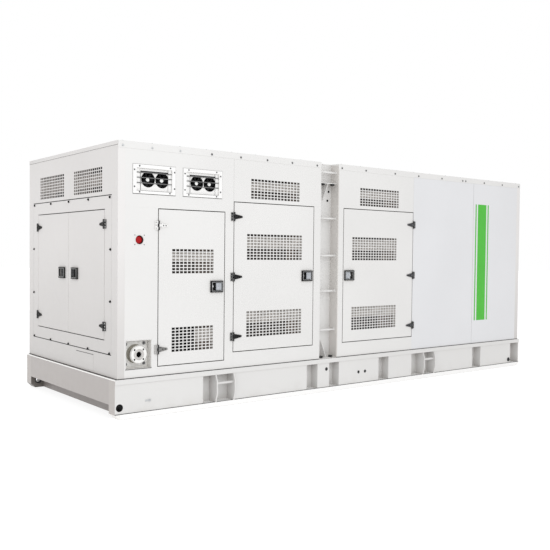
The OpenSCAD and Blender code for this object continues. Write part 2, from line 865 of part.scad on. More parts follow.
// Guard bars across the fan boxes
module fan_guards() {
    reach = fan_box_opening[0] / 2 - thin_sheet;
    color(zinc) on_right_side()
        for (along = FAN_BOXES, height = GUARD_HEIGHTS)
            translate([along - reach, guard_depth, height]) rotate([0, 90, 0])
                cylinder(h = 2 * reach, r = guard_radius);
}

// ---------------------------------------------------------------- gas inlet and stop button

module gas_cylinder(from, to, radius) {
    translate([GAS_CENTRE[0], to, GAS_CENTRE[1]]) rotate([90, 0, 0]) cylinder(h = to - from, r = radius);
}

// Square cut centred on the gas pipe
module gas_square(size, from, to) {
    slab(GAS_CENTRE[0] - size / 2, GAS_CENTRE[0] + size / 2,
         GAS_CENTRE[1] - size / 2, GAS_CENTRE[1] + size / 2, from, to);
}

// Folded sheet box let into the wall round the gas inlet
module gas_inlet_box() {
    color(paint) on_right_side() difference() {
        gas_square(gas_box_size, 0, gas_box_back + thin_sheet);
        gas_square(gas_box_size - 2 * thin_sheet, -cut, gas_box_back);
        gas_square(gas_pipe_cutout, 0, through);
    }
}

// Weld-neck flange on the end of the gas pipe, with the square plate that holds it in the box
module gas_inlet_flange() {
    color(zinc) on_right_side() difference() {
        union() {
            gas_cylinder(gas_face_depth, gas_face_depth + 3, gas_raised_face_radius);
            gas_cylinder(gas_face_depth + 2, gas_face_depth + gas_flange_thickness,
                         gas_flange_diameter / 2);
            gas_cylinder(gas_face_depth + cut, gas_pipe_end, gas_pipe_radius);
            gas_square(gas_back_plate, gas_box_back - gas_back_plate_thickness, gas_box_back);
        }
        gas_cylinder(gas_face_depth - cut, through, gas_bore / 2);
        for (turn = [45 : 90 : 315])
            translate([GAS_CENTRE[0] + gas_bolt_circle / 2 * cos(turn),
                       gas_face_depth + gas_flange_thickness + cut,
                       GAS_CENTRE[1] + gas_bolt_circle / 2 * sin(turn)])
                rotate([90, 0, 0]) cylinder(h = gas_flange_thickness + 2 * cut, d = gas_bolt_hole);
    }
}

module stop_cylinder(from, to, radius) {
    translate([STOP_CENTRE[0], to, STOP_CENTRE[1]]) rotate([90, 0, 0]) cylinder(h = to - from, r = radius);
}

// Cup let into the wall, so that the stop button stands back from the face
module stop_button_collar() {
    color(black_paint) on_right_side() difference() {
        stop_cylinder(0, stop_collar_depth, stop_collar_radius);
        stop_cylinder(-cut, stop_cup_depth, stop_cup_radius);
        stop_cylinder(0, stop_bore_depth, stop_bore_radius);
    }
}

// Mushroom head on its stem, 6 mm clear of the cup when it is pushed in
module stop_button() {
    color(signal_red) on_right_side() {
        stop_cylinder(stop_head_front, stop_head_back, stop_head_radius);
        stop_cylinder(stop_head_back - cut, stop_stem_end, stop_stem_radius);
    }
}

// ---------------------------------------------------------------- doors

module hinge_frame_leaves() {
    color(black_paint) {
        on_right_side() {
            for (height = HINGES_1) hinge_frame_half(DOOR_1[0], height, 1);
            for (height = HINGES_2) hinge_frame_half(DOOR_2[0], height, 1);
            for (height = HINGES_3) hinge_frame_half(DOOR_3[1], height, -1);
        }
        on_front_end()
            for (height = HINGES_FRONT) {
                hinge_frame_half(FRONT_LEFT[0], height, 1);
                hinge_frame_half(FRONT_RIGHT[1], height, -1);
            }
    }
}

// Leaf of the front pair: as a side leaf, with no vents and a wider gap at the meeting edge
module front_leaf(door, latch, side) {
    meeting = meeting_gap / 2 - half_gap;
    door_leaf([door[0] + (side < 0 ? meeting : 0), door[1] - (side > 0 ? meeting : 0), door[2], door[3]],
              [], latch, side);
}

module right_door_1_leaf() color(paint) on_right_side() door_leaf(DOOR_1, VENTS_1, LATCH_1, 1);
module right_door_1_hardware() color(black_paint) on_right_side() door_hardware(DOOR_1, HINGES_1, LATCH_1, 1);
module right_door_1_latch() color(zinc) on_right_side() latch_paddle(LATCH_1, 1);

module right_door_2_leaf() color(paint) on_right_side() door_leaf(DOOR_2, VENTS_2, LATCH_2, 1);
module right_door_2_hardware() color(black_paint) on_right_side() door_hardware(DOOR_2, HINGES_2, LATCH_2, 1);
module right_door_2_latch() color(zinc) on_right_side() latch_paddle(LATCH_2, 1);

module right_door_3_leaf() color(paint) on_right_side() door_leaf(DOOR_3, VENTS_3, LATCH_3, -1);
module right_door_3_hardware() color(black_paint) on_right_side() door_hardware(DOOR_3, HINGES_3, LATCH_3, -1);
module right_door_3_latch() color(zinc) on_right_side() latch_paddle(LATCH_3, -1);

module front_door_left_leaf() color(paint) on_front_end() front_leaf(FRONT_LEFT, LATCH_FRONT_LEFT, 1);
module front_door_left_hardware()
    color(black_paint) on_front_end() door_hardware(FRONT_LEFT, HINGES_FRONT, LATCH_FRONT_LEFT, 1);
module front_door_left_latch() color(zinc) on_front_end() latch_paddle(LATCH_FRONT_LEFT, 1);

module front_door_right_leaf() color(paint) on_front_end() front_leaf(FRONT_RIGHT, LATCH_FRONT_RIGHT, -1);
module front_door_right_hardware()
    color(black_paint) on_front_end() door_hardware(FRONT_RIGHT, HINGES_FRONT, LATCH_FRONT_RIGHT, -1);
module front_door_right_latch() color(zinc) on_front_end() latch_paddle(LATCH_FRONT_RIGHT, -1);

// ---------------------------------------------------------------- machinery inside

// Block across the middle line: extent is [from, to, bottom, top]
module centred_block(extent, half_width) {
    slab(extent[0], extent[1], extent[2], extent[3], -half_width, half_width);
}

// Drum lying along the set on the middle line
module drum(from, to, radius, height = crank_height) {
    translate([from, 0, height]) rotate([0, 90, 0]) cylinder(h = to - from, r = radius);
}

// Four feet: extent of the near pair, how far the far pair is beyond it, place and half width across
module four_feet(extent, spacing, across, half_width) {
    for (shift = [0, spacing], side = [-1, 1])
        slab(extent[0] + shift, extent[1] + shift, extent[2], extent[3],
             side * across - half_width, side * across + half_width);
}

// Six-cylinder gas engine on feet, with its flywheel housing towards the control end
module engine() {
    color(engine_grey) on_right_side() translate([0, half_w, 0]) {
        centred_block(ENGINE_BLOCK, engine_half_width);
        centred_block(ENGINE_SUMP, sump_half_width);
        for (i = [0 : cylinder_count - 1])
            slab(first_head + i * head_pitch, first_head + i * head_pitch + head_length,
                 ENGINE_BLOCK[3] - cut, head_top, HEAD_SIDES[0], HEAD_SIDES[1]);
        slab(MANIFOLD[0], MANIFOLD[1], MANIFOLD[2], MANIFOLD[3],
             -engine_half_width - manifold_depth, cut - engine_half_width);
        drum(FLYWHEEL_HOUSING[0], FLYWHEEL_HOUSING[1], flywheel_housing_radius);
        drum(ENGINE_BLOCK[1] - cut, ENGINE_BLOCK[1] + damper_length, damper_radius);
        translate([0, INTAKE_PIPE[0], 0])
            drum(ENGINE_SUMP[0], ENGINE_SUMP[0] + intake_length, intake_radius, INTAKE_PIPE[1]);
        four_feet([ENGINE_FOOT[0], ENGINE_FOOT[1], 0, ENGINE_BLOCK[2] + cut], engine_foot_spacing,
                  engine_foot_across, engine_foot_half);
    }
}

module alternator() {
    color(engine_grey) on_right_side() translate([0, half_w, 0]) {
        drum(ALTERNATOR[0], ALTERNATOR[1], alternator_radius);
        centred_block(TERMINAL_BOX, terminal_box_half);
        four_feet(ALTERNATOR_FOOT, alternator_foot_spacing, alternator_foot_across, alternator_foot_half);
    }
}

// Radiator across the canopy: a frame round the core, and the cowl of its fan
module radiator() {
    recess = 30;
    color(black_paint) on_right_side() translate([0, half_w, 0]) {
        difference() {
            centred_block(RADIATOR, radiator_half_width);
            for (face = [RADIATOR[0], RADIATOR[1]])
                centred_block([face - recess, face + recess, RADIATOR[2] + radiator_rim,
                               RADIATOR[3] - radiator_rim], radiator_half_width - radiator_rim);
        }
        difference() {
            drum(RADIATOR[0] - cowl_length, RADIATOR[0] + recess + cut, cowl_radius, cowl_height);
            drum(RADIATOR[0] - cowl_length - cut, RADIATOR[0] + recess + 2 * cut, cowl_radius - recess,
                 cowl_height);
        }
    }
}

// Switch and control cabinet behind the front doors
module control_cabinet() {
    color(base_paint) on_right_side() translate([0, half_w, 0]) {
        centred_block(CABINET, cabinet_half_width);
        for (side = [-1, 1])
            slab(CABINET[0] + cabinet_foot_inset, CABINET[1] - cabinet_foot_inset, 0, CABINET[2] + cut,
                 side * cabinet_foot_across - cabinet_foot_half,
                 side * cabinet_foot_across + cabinet_foot_half);
    }
}

side_rail_right();
side_rail_left();
end_beams();
cross_members();
floor_deck();
lifting_bars();
right_wall_posts();
right_wall_headers();
right_wall_sills();
right_plenum_panels();
door_seal_frames();
left_wall();
left_doors();
left_door_hardware();
front_end_wall();
front_access_panel();
rear_end_wall();
rear_access_panel();
ladder_niches();
ladder_rungs();
roof_panels();
roof_discharge_grille();
fan_housings();
fan_frames();
fan_guards();
fan_rotor_1();
fan_rotor_2();
fan_rotor_3();
fan_rotor_4();
gas_inlet_box();
gas_inlet_flange();
stop_button_collar();
stop_button();
hinge_frame_leaves();
right_door_1_leaf();
right_door_1_hardware();
right_door_1_latch();
right_door_2_leaf();
right_door_2_hardware();
right_door_2_latch();
right_door_3_leaf();
right_door_3_hardware();
right_door_3_latch();
front_door_left_leaf();
front_door_left_hardware();
front_door_left_latch();
front_door_right_leaf();
front_door_right_hardware();
front_door_right_latch();
engine();
alternator();
radiator();
control_cabinet();
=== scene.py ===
"""Gas generator set in a sound-proof canopy on a skid: its finishes, fastenings and fittings.

The set stands on the floor with its long axis on X. The control end faces -X, the side with the
opening doors faces -Y, and the radiator and its outlet are at +X."""

import math
from collections import namedtuple

import bmesh
import bpy
from mathutils import Matrix, Vector


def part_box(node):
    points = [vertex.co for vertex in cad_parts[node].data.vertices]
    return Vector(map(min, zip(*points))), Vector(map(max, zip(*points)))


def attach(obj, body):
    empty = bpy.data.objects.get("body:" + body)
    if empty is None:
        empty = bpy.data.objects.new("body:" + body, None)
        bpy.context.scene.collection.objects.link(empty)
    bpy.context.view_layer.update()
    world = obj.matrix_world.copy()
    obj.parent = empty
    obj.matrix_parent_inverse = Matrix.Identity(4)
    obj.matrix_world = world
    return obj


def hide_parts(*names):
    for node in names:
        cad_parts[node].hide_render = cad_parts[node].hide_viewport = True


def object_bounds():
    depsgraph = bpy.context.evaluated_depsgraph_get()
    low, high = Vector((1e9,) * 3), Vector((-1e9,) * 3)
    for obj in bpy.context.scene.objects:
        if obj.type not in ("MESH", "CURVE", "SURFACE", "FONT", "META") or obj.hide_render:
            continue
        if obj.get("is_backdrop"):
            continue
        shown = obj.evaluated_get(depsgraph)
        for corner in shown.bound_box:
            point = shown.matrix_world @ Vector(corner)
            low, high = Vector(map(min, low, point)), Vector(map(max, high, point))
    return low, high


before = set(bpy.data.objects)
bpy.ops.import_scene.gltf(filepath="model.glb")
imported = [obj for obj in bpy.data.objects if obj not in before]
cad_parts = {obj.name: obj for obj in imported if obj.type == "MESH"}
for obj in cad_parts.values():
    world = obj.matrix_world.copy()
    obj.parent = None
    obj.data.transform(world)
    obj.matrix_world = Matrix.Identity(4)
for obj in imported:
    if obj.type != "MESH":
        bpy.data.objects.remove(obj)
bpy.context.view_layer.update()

# ---------------------------------------------------------------- Base frame
# Two long side rails with pockets, and a plate and a deep member at each end, folded and welded
# from steel plate. They are blasted and powder-coated in off-white, with dust low down on them.
BASE_WHITE = (0.655, 0.645, 0.635)
ROAD_DUST = (0.40, 0.36, 0.31)
CORNER_SHADE_COLOUR = (0.235, 0.20, 0.165)


def add_node(tree, kind, given=None, **settings):
    """A node in a material or geometry tree, with values or links on its inputs."""
    node = tree.nodes.new(kind)
    for setting, value in settings.items():
        setattr(node, setting, value)
    for socket, value in (given or {}).items():
        if isinstance(value, bpy.types.NodeSocket):
            tree.links.new(value, node.inputs[socket])
        else:
            node.inputs[socket].default_value = value
    return node


def sum_of(tree, operation, *values):
    """The result of one sum on numbers or sockets."""
    return add_node(tree, "ShaderNodeMath", dict(enumerate(values)), operation=operation).outputs[0]


def new_finish(name, **shader_values):
    """A finish, its tree, its shader, and the place on the piece that its patterns read."""
    finish = bpy.data.materials.new(name)
    finish.use_nodes = True
    tree = finish.node_tree
    shader = tree.nodes["Principled BSDF"]
    for socket, value in shader_values.items():
        shader.inputs[socket.replace("_", " ")].default_value = value
    return finish, tree, shader, add_node(tree, "ShaderNodeTexCoord").outputs["Object"]


def grain(tree, place, scale, detail=2.0, stretch=(1, 1, 1)):
    """Cloudy grain round 0.5, with so many clouds to a metre."""
    stretched = add_node(tree, "ShaderNodeMapping", {"Vector": place, "Scale": stretch}).outputs[0]
    noise = add_node(tree, "ShaderNodeTexNoise", {"Vector": stretched, "Scale": scale, "Detail": detail})
    return noise.outputs["Fac"]


def blend(tree, share, first, second):
    """A colour between two colours or sockets, by a share from 0 to 1."""
    mix = add_node(tree, "ShaderNodeMix", {0: share}, data_type="RGBA")
    for socket, value in ((6, first), (7, second)):
        if isinstance(value, bpy.types.NodeSocket):
            tree.links.new(value, mix.inputs[socket])
        else:
            mix.inputs[socket].default_value = (*value, 1)
    return mix.outputs[2]


def spread(tree, value, low, high, to_low=0.0, to_high=1.0):
    """Stretches a value between two levels and holds it inside them."""
    given = {"Value": value, 1: low, 2: high, 3: to_low, 4: to_high}
    return add_node(tree, "ShaderNodeMapRange", given).outputs[0]


def raise_surface(tree, shader, height, depth, soft_edge=0.0015):
    """Bump of a real depth in metres, on edges eased as paint eases them."""
    edge = add_node(tree, "ShaderNodeBevel", {"Radius": soft_edge}, samples=4).outputs[0]
    bump = add_node(tree, "ShaderNodeBump", {"Height": height, "Distance": depth, "Normal": edge})
    tree.links.new(bump.outputs[0], shader.inputs["Normal"])


def powder_coat(name, colour, dusty_to=0.0, corner_shade=0.5):
    """Baked powder coat: orange peel, faint clouds, painted shade in its corners and dust low down."""
    finish, tree, shader, place = new_finish(name, Coat_Weight=0.12, Coat_Roughness=0.3)
    clouds = spread(tree, grain(tree, place, 1.1, 4.0), 0.35, 0.7)
    coat = blend(tree, clouds, colour, [0.965 * c for c in colour])
    if dusty_to:
        height = add_node(tree, "ShaderNodeSeparateXYZ", {0: place}).outputs["Z"]
        specks = spread(tree, grain(tree, place, 9.0, 6.0), 0.42, 0.8)
        dust = sum_of(tree, "MULTIPLY", spread(tree, height, dusty_to, 0.0, 0.0, 0.35), specks)
        coat = blend(tree, dust, coat, ROAD_DUST)
    # Painted shade: the coat is darkened where other surfaces close round it, in corners and recesses.
    shut_in = add_node(tree, "ShaderNodeAmbientOcclusion", {"Distance": 0.10}, samples=6).outputs["AO"]
    coat = blend(tree, spread(tree, shut_in, 0.95, 0.2, 0.0, corner_shade), coat, CORNER_SHADE_COLOUR)
    tree.links.new(coat, shader.inputs["Base Color"])
    gloss = spread(tree, grain(tree, place, 14.0, 3.0), 0.3, 0.7, 0.36, 0.47)
    tree.links.new(gloss, shader.inputs["Roughness"])
    raise_surface(tree, shader, grain(tree, place, 420.0, 1.0), 0.00006)
    return finish


def finish_nodes(finish, *names):
    """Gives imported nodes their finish."""
    for name in names:
        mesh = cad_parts[name].data
        mesh.materials.clear()
        mesh.materials.append(finish)


def tint(finish, colour, **limits):
    """Tints a finish where X, Y or Z lies between two levels in metres."""
    tree = finish.node_tree
    shader = tree.nodes["Principled BSDF"]
    coat = shader.inputs["Base Color"].links[0].from_socket
    where = next(node for node in tree.nodes if node.type == "TEX_COORD").outputs["Object"]
    share = 1.0
    for axis, (low, high) in limits.items():
        level = add_node(tree, "ShaderNodeSeparateXYZ", {0: where}).outputs[axis]
        within = sum_of(tree, "COMPARE", level, (low + high) / 2, (high - low) / 2)
        share = sum_of(tree, "MULTIPLY", within, share)
    tree.links.new(blend(tree, share, coat, colour), shader.inputs["Base Color"])
    return finish


# Where the coat is painted lighter or darker as light and shade, in metres from the middle of the set or the
# floor
RUNNER_HALF, RUNNER_RISE = 2.982, (0.002, 0.0485)
INNER_FACE = (0.955, 0.957)
CHAMFER, CHAMFER_RISE = (2.9832, 3.03), (0.001, 0.0455)
END_FACE = (3.0285, 3.0295)
LEFT_RAIL = (0.9, 1.2)
END_MEMBER = (2.86, 2.9)


def both_ends(near, far):
    """A span and its mirror image across the middle of the set."""
    return (-far, -near), (near, far)


base_coat = powder_coat("base_coat", BASE_WHITE, dusty_to=0.16, corner_shade=0.3)
# Painted highlight: the bottom runner is painted lighter, as if lit from the floor.
tint(base_coat, (0.84, 0.83, 0.82), X=(-RUNNER_HALF, RUNNER_HALF), Z=RUNNER_RISE)
# Painted shade: the inner faces of the rails are painted near black.
for span in both_ends(*INNER_FACE):
    tint(base_coat, (0.13, 0.115, 0.105), Y=span)
# Painted light and shade: the runners' end chamfers are painted light, and dark on the left rail.
for span in both_ends(*CHAMFER):
    tint(base_coat, (0.80, 0.78, 0.76), X=span, Z=CHAMFER_RISE)
    tint(base_coat, (0.16, 0.145, 0.135), X=span, Y=LEFT_RAIL, Z=CHAMFER_RISE)
# Painted shade: the rails' end faces are painted darker.
for span in both_ends(*END_FACE):
    tint(base_coat, (0.46, 0.43, 0.41), X=span)
finish_nodes(base_coat, "side_rail_right", "side_rail_left", "cross_members", "lifting_bars")
# Painted shade: the end beams get a darker copy of the base coat, and their deep members darker still.
end_beam_shaded_coat = powder_coat("end_beam_shaded_coat", (0.43, 0.40, 0.385), dusty_to=0.25)
for span in both_ends(*END_MEMBER):
    tint(end_beam_shaded_coat, (0.235, 0.21, 0.20), X=span)
finish_nodes(end_beam_shaded_coat, "end_beams")

# ---------------------------------------------------------------- Base fittings
# Blank plugs close unused holes in the rails, an earthing stud with its lug stands near the
# control end, a drain closes the bund at the far end, and black sleeves in the towing holes
# are painted shade, standing in for the dark inside the bores.
MM = 0.001
canopy_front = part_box("front_end_wall")[0].x
canopy_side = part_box("right_wall_posts")[0].y
base_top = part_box("side_rail_right")[1].z
RAIL_FACE = -6
PLUGS = [(2490, -113, 19), (2977, -187, 17), (3079, -187, 17)]
EARTH_STUD = (324, -213)
LUG_LENGTH, LUG_END, LUG_HALF = 56, 12, 8
DRAIN = (5805, RAIL_FACE, -265)
TOW_SHADE_SLEEVES = {
    "right": ((22, 6, -252), [(34.9, 12), (34.9, -108), (32.4, -108), (32.4, 12)]),
    "left": ((58, 118, -278), [(28.5, 0), (39, 0), (39, 3), (32.9, 4.5), (32.9, 26), (28.5, 26)])}


def side_of_set(along, inwards, corner):
    """The turn from mm along, inwards and up from the base top to the frame's metres."""
    turn = Matrix((along, inwards, (0, 0, 1))).transposed().to_4x4()
    return Matrix.Translation(corner) @ Matrix.Scale(MM, 4) @ turn


RIGHT = side_of_set((1, 0, 0), (0, 1, 0), (canopy_front, canopy_side, base_top))
LEFT = side_of_set((1, 0, 0), (0, -1, 0), (canopy_front, -canopy_side, base_top))
FRONT = side_of_set((0, -1, 0), (1, 0, 0), (canopy_front, 0, base_top))
REAR = side_of_set((0, 1, 0), (-1, 0, 0), (-canopy_front, 0, base_top))
INSIDE = side_of_set((1, 0, 0), (0, 1, 0), (canopy_front, 0, base_top))


def flecked(name, colour, roughness, metallic=0.0, scale=45.0, contrast=0.6, depth=0.00005, **more):
    """A finish with blotches between a colour and a darker one, and uneven gloss."""
    finish, tree, shader, place = new_finish(name, Metallic=metallic, **more)
    blotches = spread(tree, grain(tree, place, scale, 5.0), 0.35, 0.7)
    tree.links.new(blend(tree, blotches, colour, [contrast * c for c in colour]),
                   shader.inputs["Base Color"])
    gloss = spread(tree, grain(tree, place, 3.0 * scale), 0.3, 0.7, roughness - 0.06, roughness + 0.08)
    tree.links.new(gloss, shader.inputs["Roughness"])
    raise_surface(tree, shader, grain(tree, place, 12.0 * scale, 1.0), depth, 0.001)
    return finish


def finish_piece(name, mesh, finish, body):
    """A finished piece that rides on a body."""
    if not mesh.materials:
        mesh.materials.append(finish)
    mesh.shade_smooth()
    mesh.set_sharp_from_angle(angle=math.radians(32))
    piece = bpy.data.objects.new(name, mesh)
    bpy.context.scene.collection.objects.link(piece)
    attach(piece, body)
    return piece


def make_piece(name, shape, side, finish, body="root"):
    """A shape drawn in mm, put in place on one side of the set and finished."""
    bmesh.ops.transform(shape, matrix=side, verts=shape.verts)
    bmesh.ops.recalc_face_normals(shape, faces=shape.faces)
    mesh = bpy.data.meshes.new(name)
    shape.to_mesh(mesh)
    shape.free()
    return finish_piece(name, mesh, finish, body)


def turned(shape, outline, centre, axis, steps=32, hollow=False):
    """Adds a turned form: an outline of (radius, distance along the axis) spun round the axis."""
    spin = Vector(axis).to_track_quat("Z", "Y")
    rings = []
    for radius, along in outline:
        count = steps if radius > 0 else 1
        angles = [2 * math.pi * i / steps for i in range(count)]
        rings.append([shape.verts.new(Vector(centre) + spin @ Vector(
            (radius * math.cos(a), radius * math.sin(a), along))) for a in angles])
    pairs = list(zip(rings, rings[1:])) + ([(rings[-1], rings[0])] if hollow else [])
    for lower, upper in pairs:
        for i in range(steps):
            j = (i + 1) % steps
            corners = [lower[i % len(lower)], lower[j % len(lower)],
                       upper[j % len(upper)], upper[i % len(upper)]]
            unique = list(dict.fromkeys(corners))
            if len(unique) > 2:
                shape.faces.new(unique)


def box(shape, low, high, rounding=0.0, steps=2):
    """Adds a block between two corners, its edges rounded."""
    corners = bmesh.ops.create_cube(shape, size=1.0)["verts"]
    low, high = Vector(low), Vector(high)
    size = high - low
    for corner in corners:
        corner.co = Vector([low[i] + (corner.co[i] + 0.5) * size[i] for i in range(3)])
    if rounding:
        edges = list(dict.fromkeys(edge for corner in corners for edge in corner.link_edges))
        bmesh.ops.bevel(shape, geom=edges, offset=rounding, segments=steps, affect="EDGES", profile=0.5)


OUT = (0, -1, 0)
black_rubber = flecked("black_rubber", (0.016, 0.016, 0.017), 0.72, scale=70.0)
zinc_plate = flecked("zinc_plate", (0.62, 0.63, 0.64), 0.36, metallic=0.85, scale=25.0, contrast=0.75)
for name, side in (("right", RIGHT), ("left", LEFT)):
    shape = bmesh.new()
    for along, height, radius in PLUGS:
        turned(shape, [(0, -1), (radius, -1), (radius, 1.5), (radius - 2, 3), (0.6 * radius, 2.2), (0, 2.2)],
               (along, RAIL_FACE, height), OUT)
    # Painted shade: a black sleeve in each towing hole stands in for the dark inside the bore.
    centre, outline = TOW_SHADE_SLEEVES[name]
    turned(shape, outline, centre, OUT, hollow=True)
    turned(shape, [(0, -1), (27, -1), (27, 3), (24, 4), (17, 4), (15, 13), (0, 13)], DRAIN, OUT)
    make_piece("rail_plugs_" + name, shape, side, black_rubber)
    shape = bmesh.new()
    along, height = EARTH_STUD
    turned(shape, [(0, 2), (12, 2), (12, 5), (8, 5), (8, 11), (4, 11), (4, 17), (3, 18), (0, 18)],
           (along, RAIL_FACE, height), OUT, steps=6)
    box(shape, (along + LUG_END - LUG_LENGTH, RAIL_FACE - 3, height - LUG_HALF),
        (along + LUG_END, RAIL_FACE + 1, height + LUG_HALF), 1.2)
    make_piece("earth_stud_" + name, shape, side, zinc_plate)

# ---------------------------------------------------------------- Seat and sealant
# The canopy sits on a rubber strip laid along the base. A black strip along the top of each
# bottom runner is painted shade: the shadow line between the rail and its runner. A white cap
# strip edges each end beam, its white a painted highlight along the beam's top edge.
SEAT_DEPTH, SEAT_RISE = (-2.5, 6), (-0.5, 6.5)
RUNNER_TOP = -312
SHADOW_STRIP_DEPTH, SHADOW_STRIP_RISE = (-8.5, RAIL_FACE + 0.5), (RUNNER_TOP - 0.5, -307)
NICHE_EDGES = (2387, 2641)
CHEEKS = [1040, 1251, 4056, 4254]
CHEEK_SIZE = 13
CANOPY_LENGTH = 6010
WALL_SPANS = ((1, NICHE_EDGES[0]), (NICHE_EDGES[1], CANOPY_LENGTH - 1))
WALL_HALF = 1069
RAIL_ENDS = (-23, 6033)
CAP_HALF, CAP_DEPTH, CAP_RISE = 1080, (-25, -20), (-9, 1.2)


def bar(shape, along, inwards, upwards, rounding=0.0, steps=2):
    """Adds a block by its spans along, inwards and upwards."""
    box(shape, (along[0], inwards[0], upwards[0]), (along[1], inwards[1], upwards[1]), rounding, steps)


for name, side in (("right", RIGHT), ("left", LEFT)):
    shape = bmesh.new()
    for span in WALL_SPANS:
        bar(shape, span, SEAT_DEPTH, SEAT_RISE, 0.8, 1)
    # Painted shade: the shadow line along the top of each runner, as a black strip.
    starts = [RAIL_ENDS[0]] + [cheek + CHEEK_SIZE for cheek in CHEEKS]
    for span in zip(starts, CHEEKS + [RAIL_ENDS[1]]):
        bar(shape, span, SHADOW_STRIP_DEPTH, SHADOW_STRIP_RISE, 0.8, 1)
    make_piece("seat_and_shadow_strip_" + name, shape, side, black_rubber)
# Painted highlight: the white of the cap strips on the end beams.
highlight_white = flecked("highlight_white", (0.95, 0.94, 0.93), 0.5, scale=3.0, contrast=0.97)
for name, side in (("front", FRONT), ("rear", REAR)):
    shape = bmesh.new()
    bar(shape, (-WALL_HALF, WALL_HALF), SEAT_DEPTH, SEAT_RISE, 0.8, 1)
    make_piece("seat_" + name, shape, side, black_rubber)
    shape = bmesh.new()
    bar(shape, (-CAP_HALF, CAP_HALF), CAP_DEPTH, CAP_RISE, 1.1, 1)
    make_piece("end_beam_cap_" + name, shape, side, highlight_white)

# ---------------------------------------------------------------- Weld beads
# Arc welds where the lifting cheeks meet the rails, laid down in small ripples.
# They are painted with the base.
CHEEK_TOP, CHEEK_FOOT = -46, RUNNER_TOP
BEAD_DEPTH, BEAD_LENGTH = -12, 6


def new_tree(name, *ports):
    """A geometry tree with named inputs, a finish input and one output."""
    tree = bpy.data.node_groups.new(name, "GeometryNodeTree")
    for label, kind in (("Start", "Geometry"), ("Finish", "Material")) + ports:
        tree.interface.new_socket(label, in_out="INPUT", socket_type="NodeSocket" + kind)
    tree.interface.new_socket("Result", in_out="OUTPUT", socket_type="NodeSocketGeometry")
    return tree, tree.nodes.new("NodeGroupInput").outputs


def end_tree(tree, given, result):
    """Realizes what the tree has made, gives it its finish and passes it out."""
    solid = add_node(tree, "GeometryNodeRealizeInstances", {0: result}).outputs[0]
    coated = add_node(tree, "GeometryNodeSetMaterial", {"Geometry": solid, "Material": given["Finish"]})
    add_node(tree, "NodeGroupOutput", {0: coated.outputs[0]})


def grow(name, tree, start, values, finish, body="root", turn=None):
    """Runs a geometry tree on a start mesh and keeps the result as a plain finished piece."""
    carrier = bpy.data.objects.new(name, start)
    bpy.context.scene.collection.objects.link(carrier)
    modifier = carrier.modifiers.new("grow", "NODES")
    modifier.node_group = tree
    for port in tree.interface.items_tree:
        if port.name in values:
            modifier[port.identifier] = values[port.name]
        elif port.name == "Finish":
            modifier[port.identifier] = finish
    ready = carrier.evaluated_get(bpy.context.evaluated_depsgraph_get())
    mesh = bpy.data.meshes.new_from_object(ready)
    carrier.modifiers.clear()
    bpy.data.objects.remove(carrier)
    if turn:
        mesh.transform(turn)
        if turn.determinant() < 0:
            mesh.flip_normals()
    return finish_piece(name, mesh, finish, body)


bead_tree, given = new_tree("weld_beads", ("Bead radius", "Float"), ("Ripple", "Float"), ("Step", "Float"))
path = add_node(bead_tree, "GeometryNodeMeshToCurve", {"Mesh": given["Start"]}).outputs[0]
stepped = add_node(bead_tree, "GeometryNodeResampleCurve", {"Curve": path, "Length": given["Step"]},
                   mode="LENGTH").outputs[0]
ripple = add_node(bead_tree, "FunctionNodeRandomValue", {2: 1.0, "Seed": 7}, data_type="FLOAT")
bead_tree.links.new(sum_of(bead_tree, "ADD", given["Ripple"], 1.0), ripple.inputs[3])
bead = add_node(bead_tree, "GeometryNodeSetCurveRadius",
                {"Curve": stepped, "Radius": ripple.outputs[1]}).outputs[0]
bead_scale = add_node(bead_tree, "GeometryNodeInputRadius").outputs[0]
section = add_node(bead_tree, "GeometryNodeCurvePrimitiveCircle",
                   {"Resolution": 8, "Radius": given["Bead radius"]}, mode="RADIUS").outputs[0]
beads = add_node(bead_tree, "GeometryNodeCurveToMesh",
                 {"Curve": bead, "Profile Curve": section, "Scale": bead_scale, "Fill Caps": True})
end_tree(bead_tree, given, beads.outputs[0])


def path_mesh(name, paths):
    """Bare polylines for a geometry tree to follow, in metres."""
    points, edges = [], []
    for line in paths:
        edges += [(len(points) + i, len(points) + i + 1) for i in range(len(line) - 1)]
        points += line
    mesh = bpy.data.meshes.new(name)
    mesh.from_pydata(points, edges, [])
    return mesh


seams = []
for side in (RIGHT, LEFT):
    for along in CHEEKS:
        for edge in (along, along + CHEEK_SIZE):
            for start, end in ((CHEEK_TOP - BEAD_LENGTH, CHEEK_TOP), (CHEEK_FOOT + BEAD_LENGTH, CHEEK_FOOT)):
                seams.append([side @ Vector((edge, BEAD_DEPTH, height)) for height in (start, end)])
grow("weld_beads", bead_tree, path_mesh("seams", seams),
     {"Bead radius": 0.004, "Ripple": 0.35, "Step": 0.005}, base_coat)

# ---------------------------------------------------------------- Floor deck
# Galvanised sheet laid on the cross members, which also forms the bund under the engine.
# Its zinc shows large, soft-edged spangles.
galvanised, tree, shader, place = new_finish("galvanised", Metallic=0.75)
spangle = add_node(tree, "ShaderNodeTexVoronoi", {"Vector": place, "Scale": 45.0}).outputs["Color"]
patch = add_node(tree, "ShaderNodeSeparateColor", {0: spangle}).outputs[0]
tree.links.new(blend(tree, patch, (0.46, 0.47, 0.48), (0.33, 0.34, 0.35)), shader.inputs["Base Color"])
tree.links.new(spread(tree, patch, 0.0, 1.0, 0.38, 0.55), shader.inputs["Roughness"])
raise_surface(tree, shader, grain(tree, place, 90.0), 0.0001)
finish_nodes(galvanised, "floor_deck")

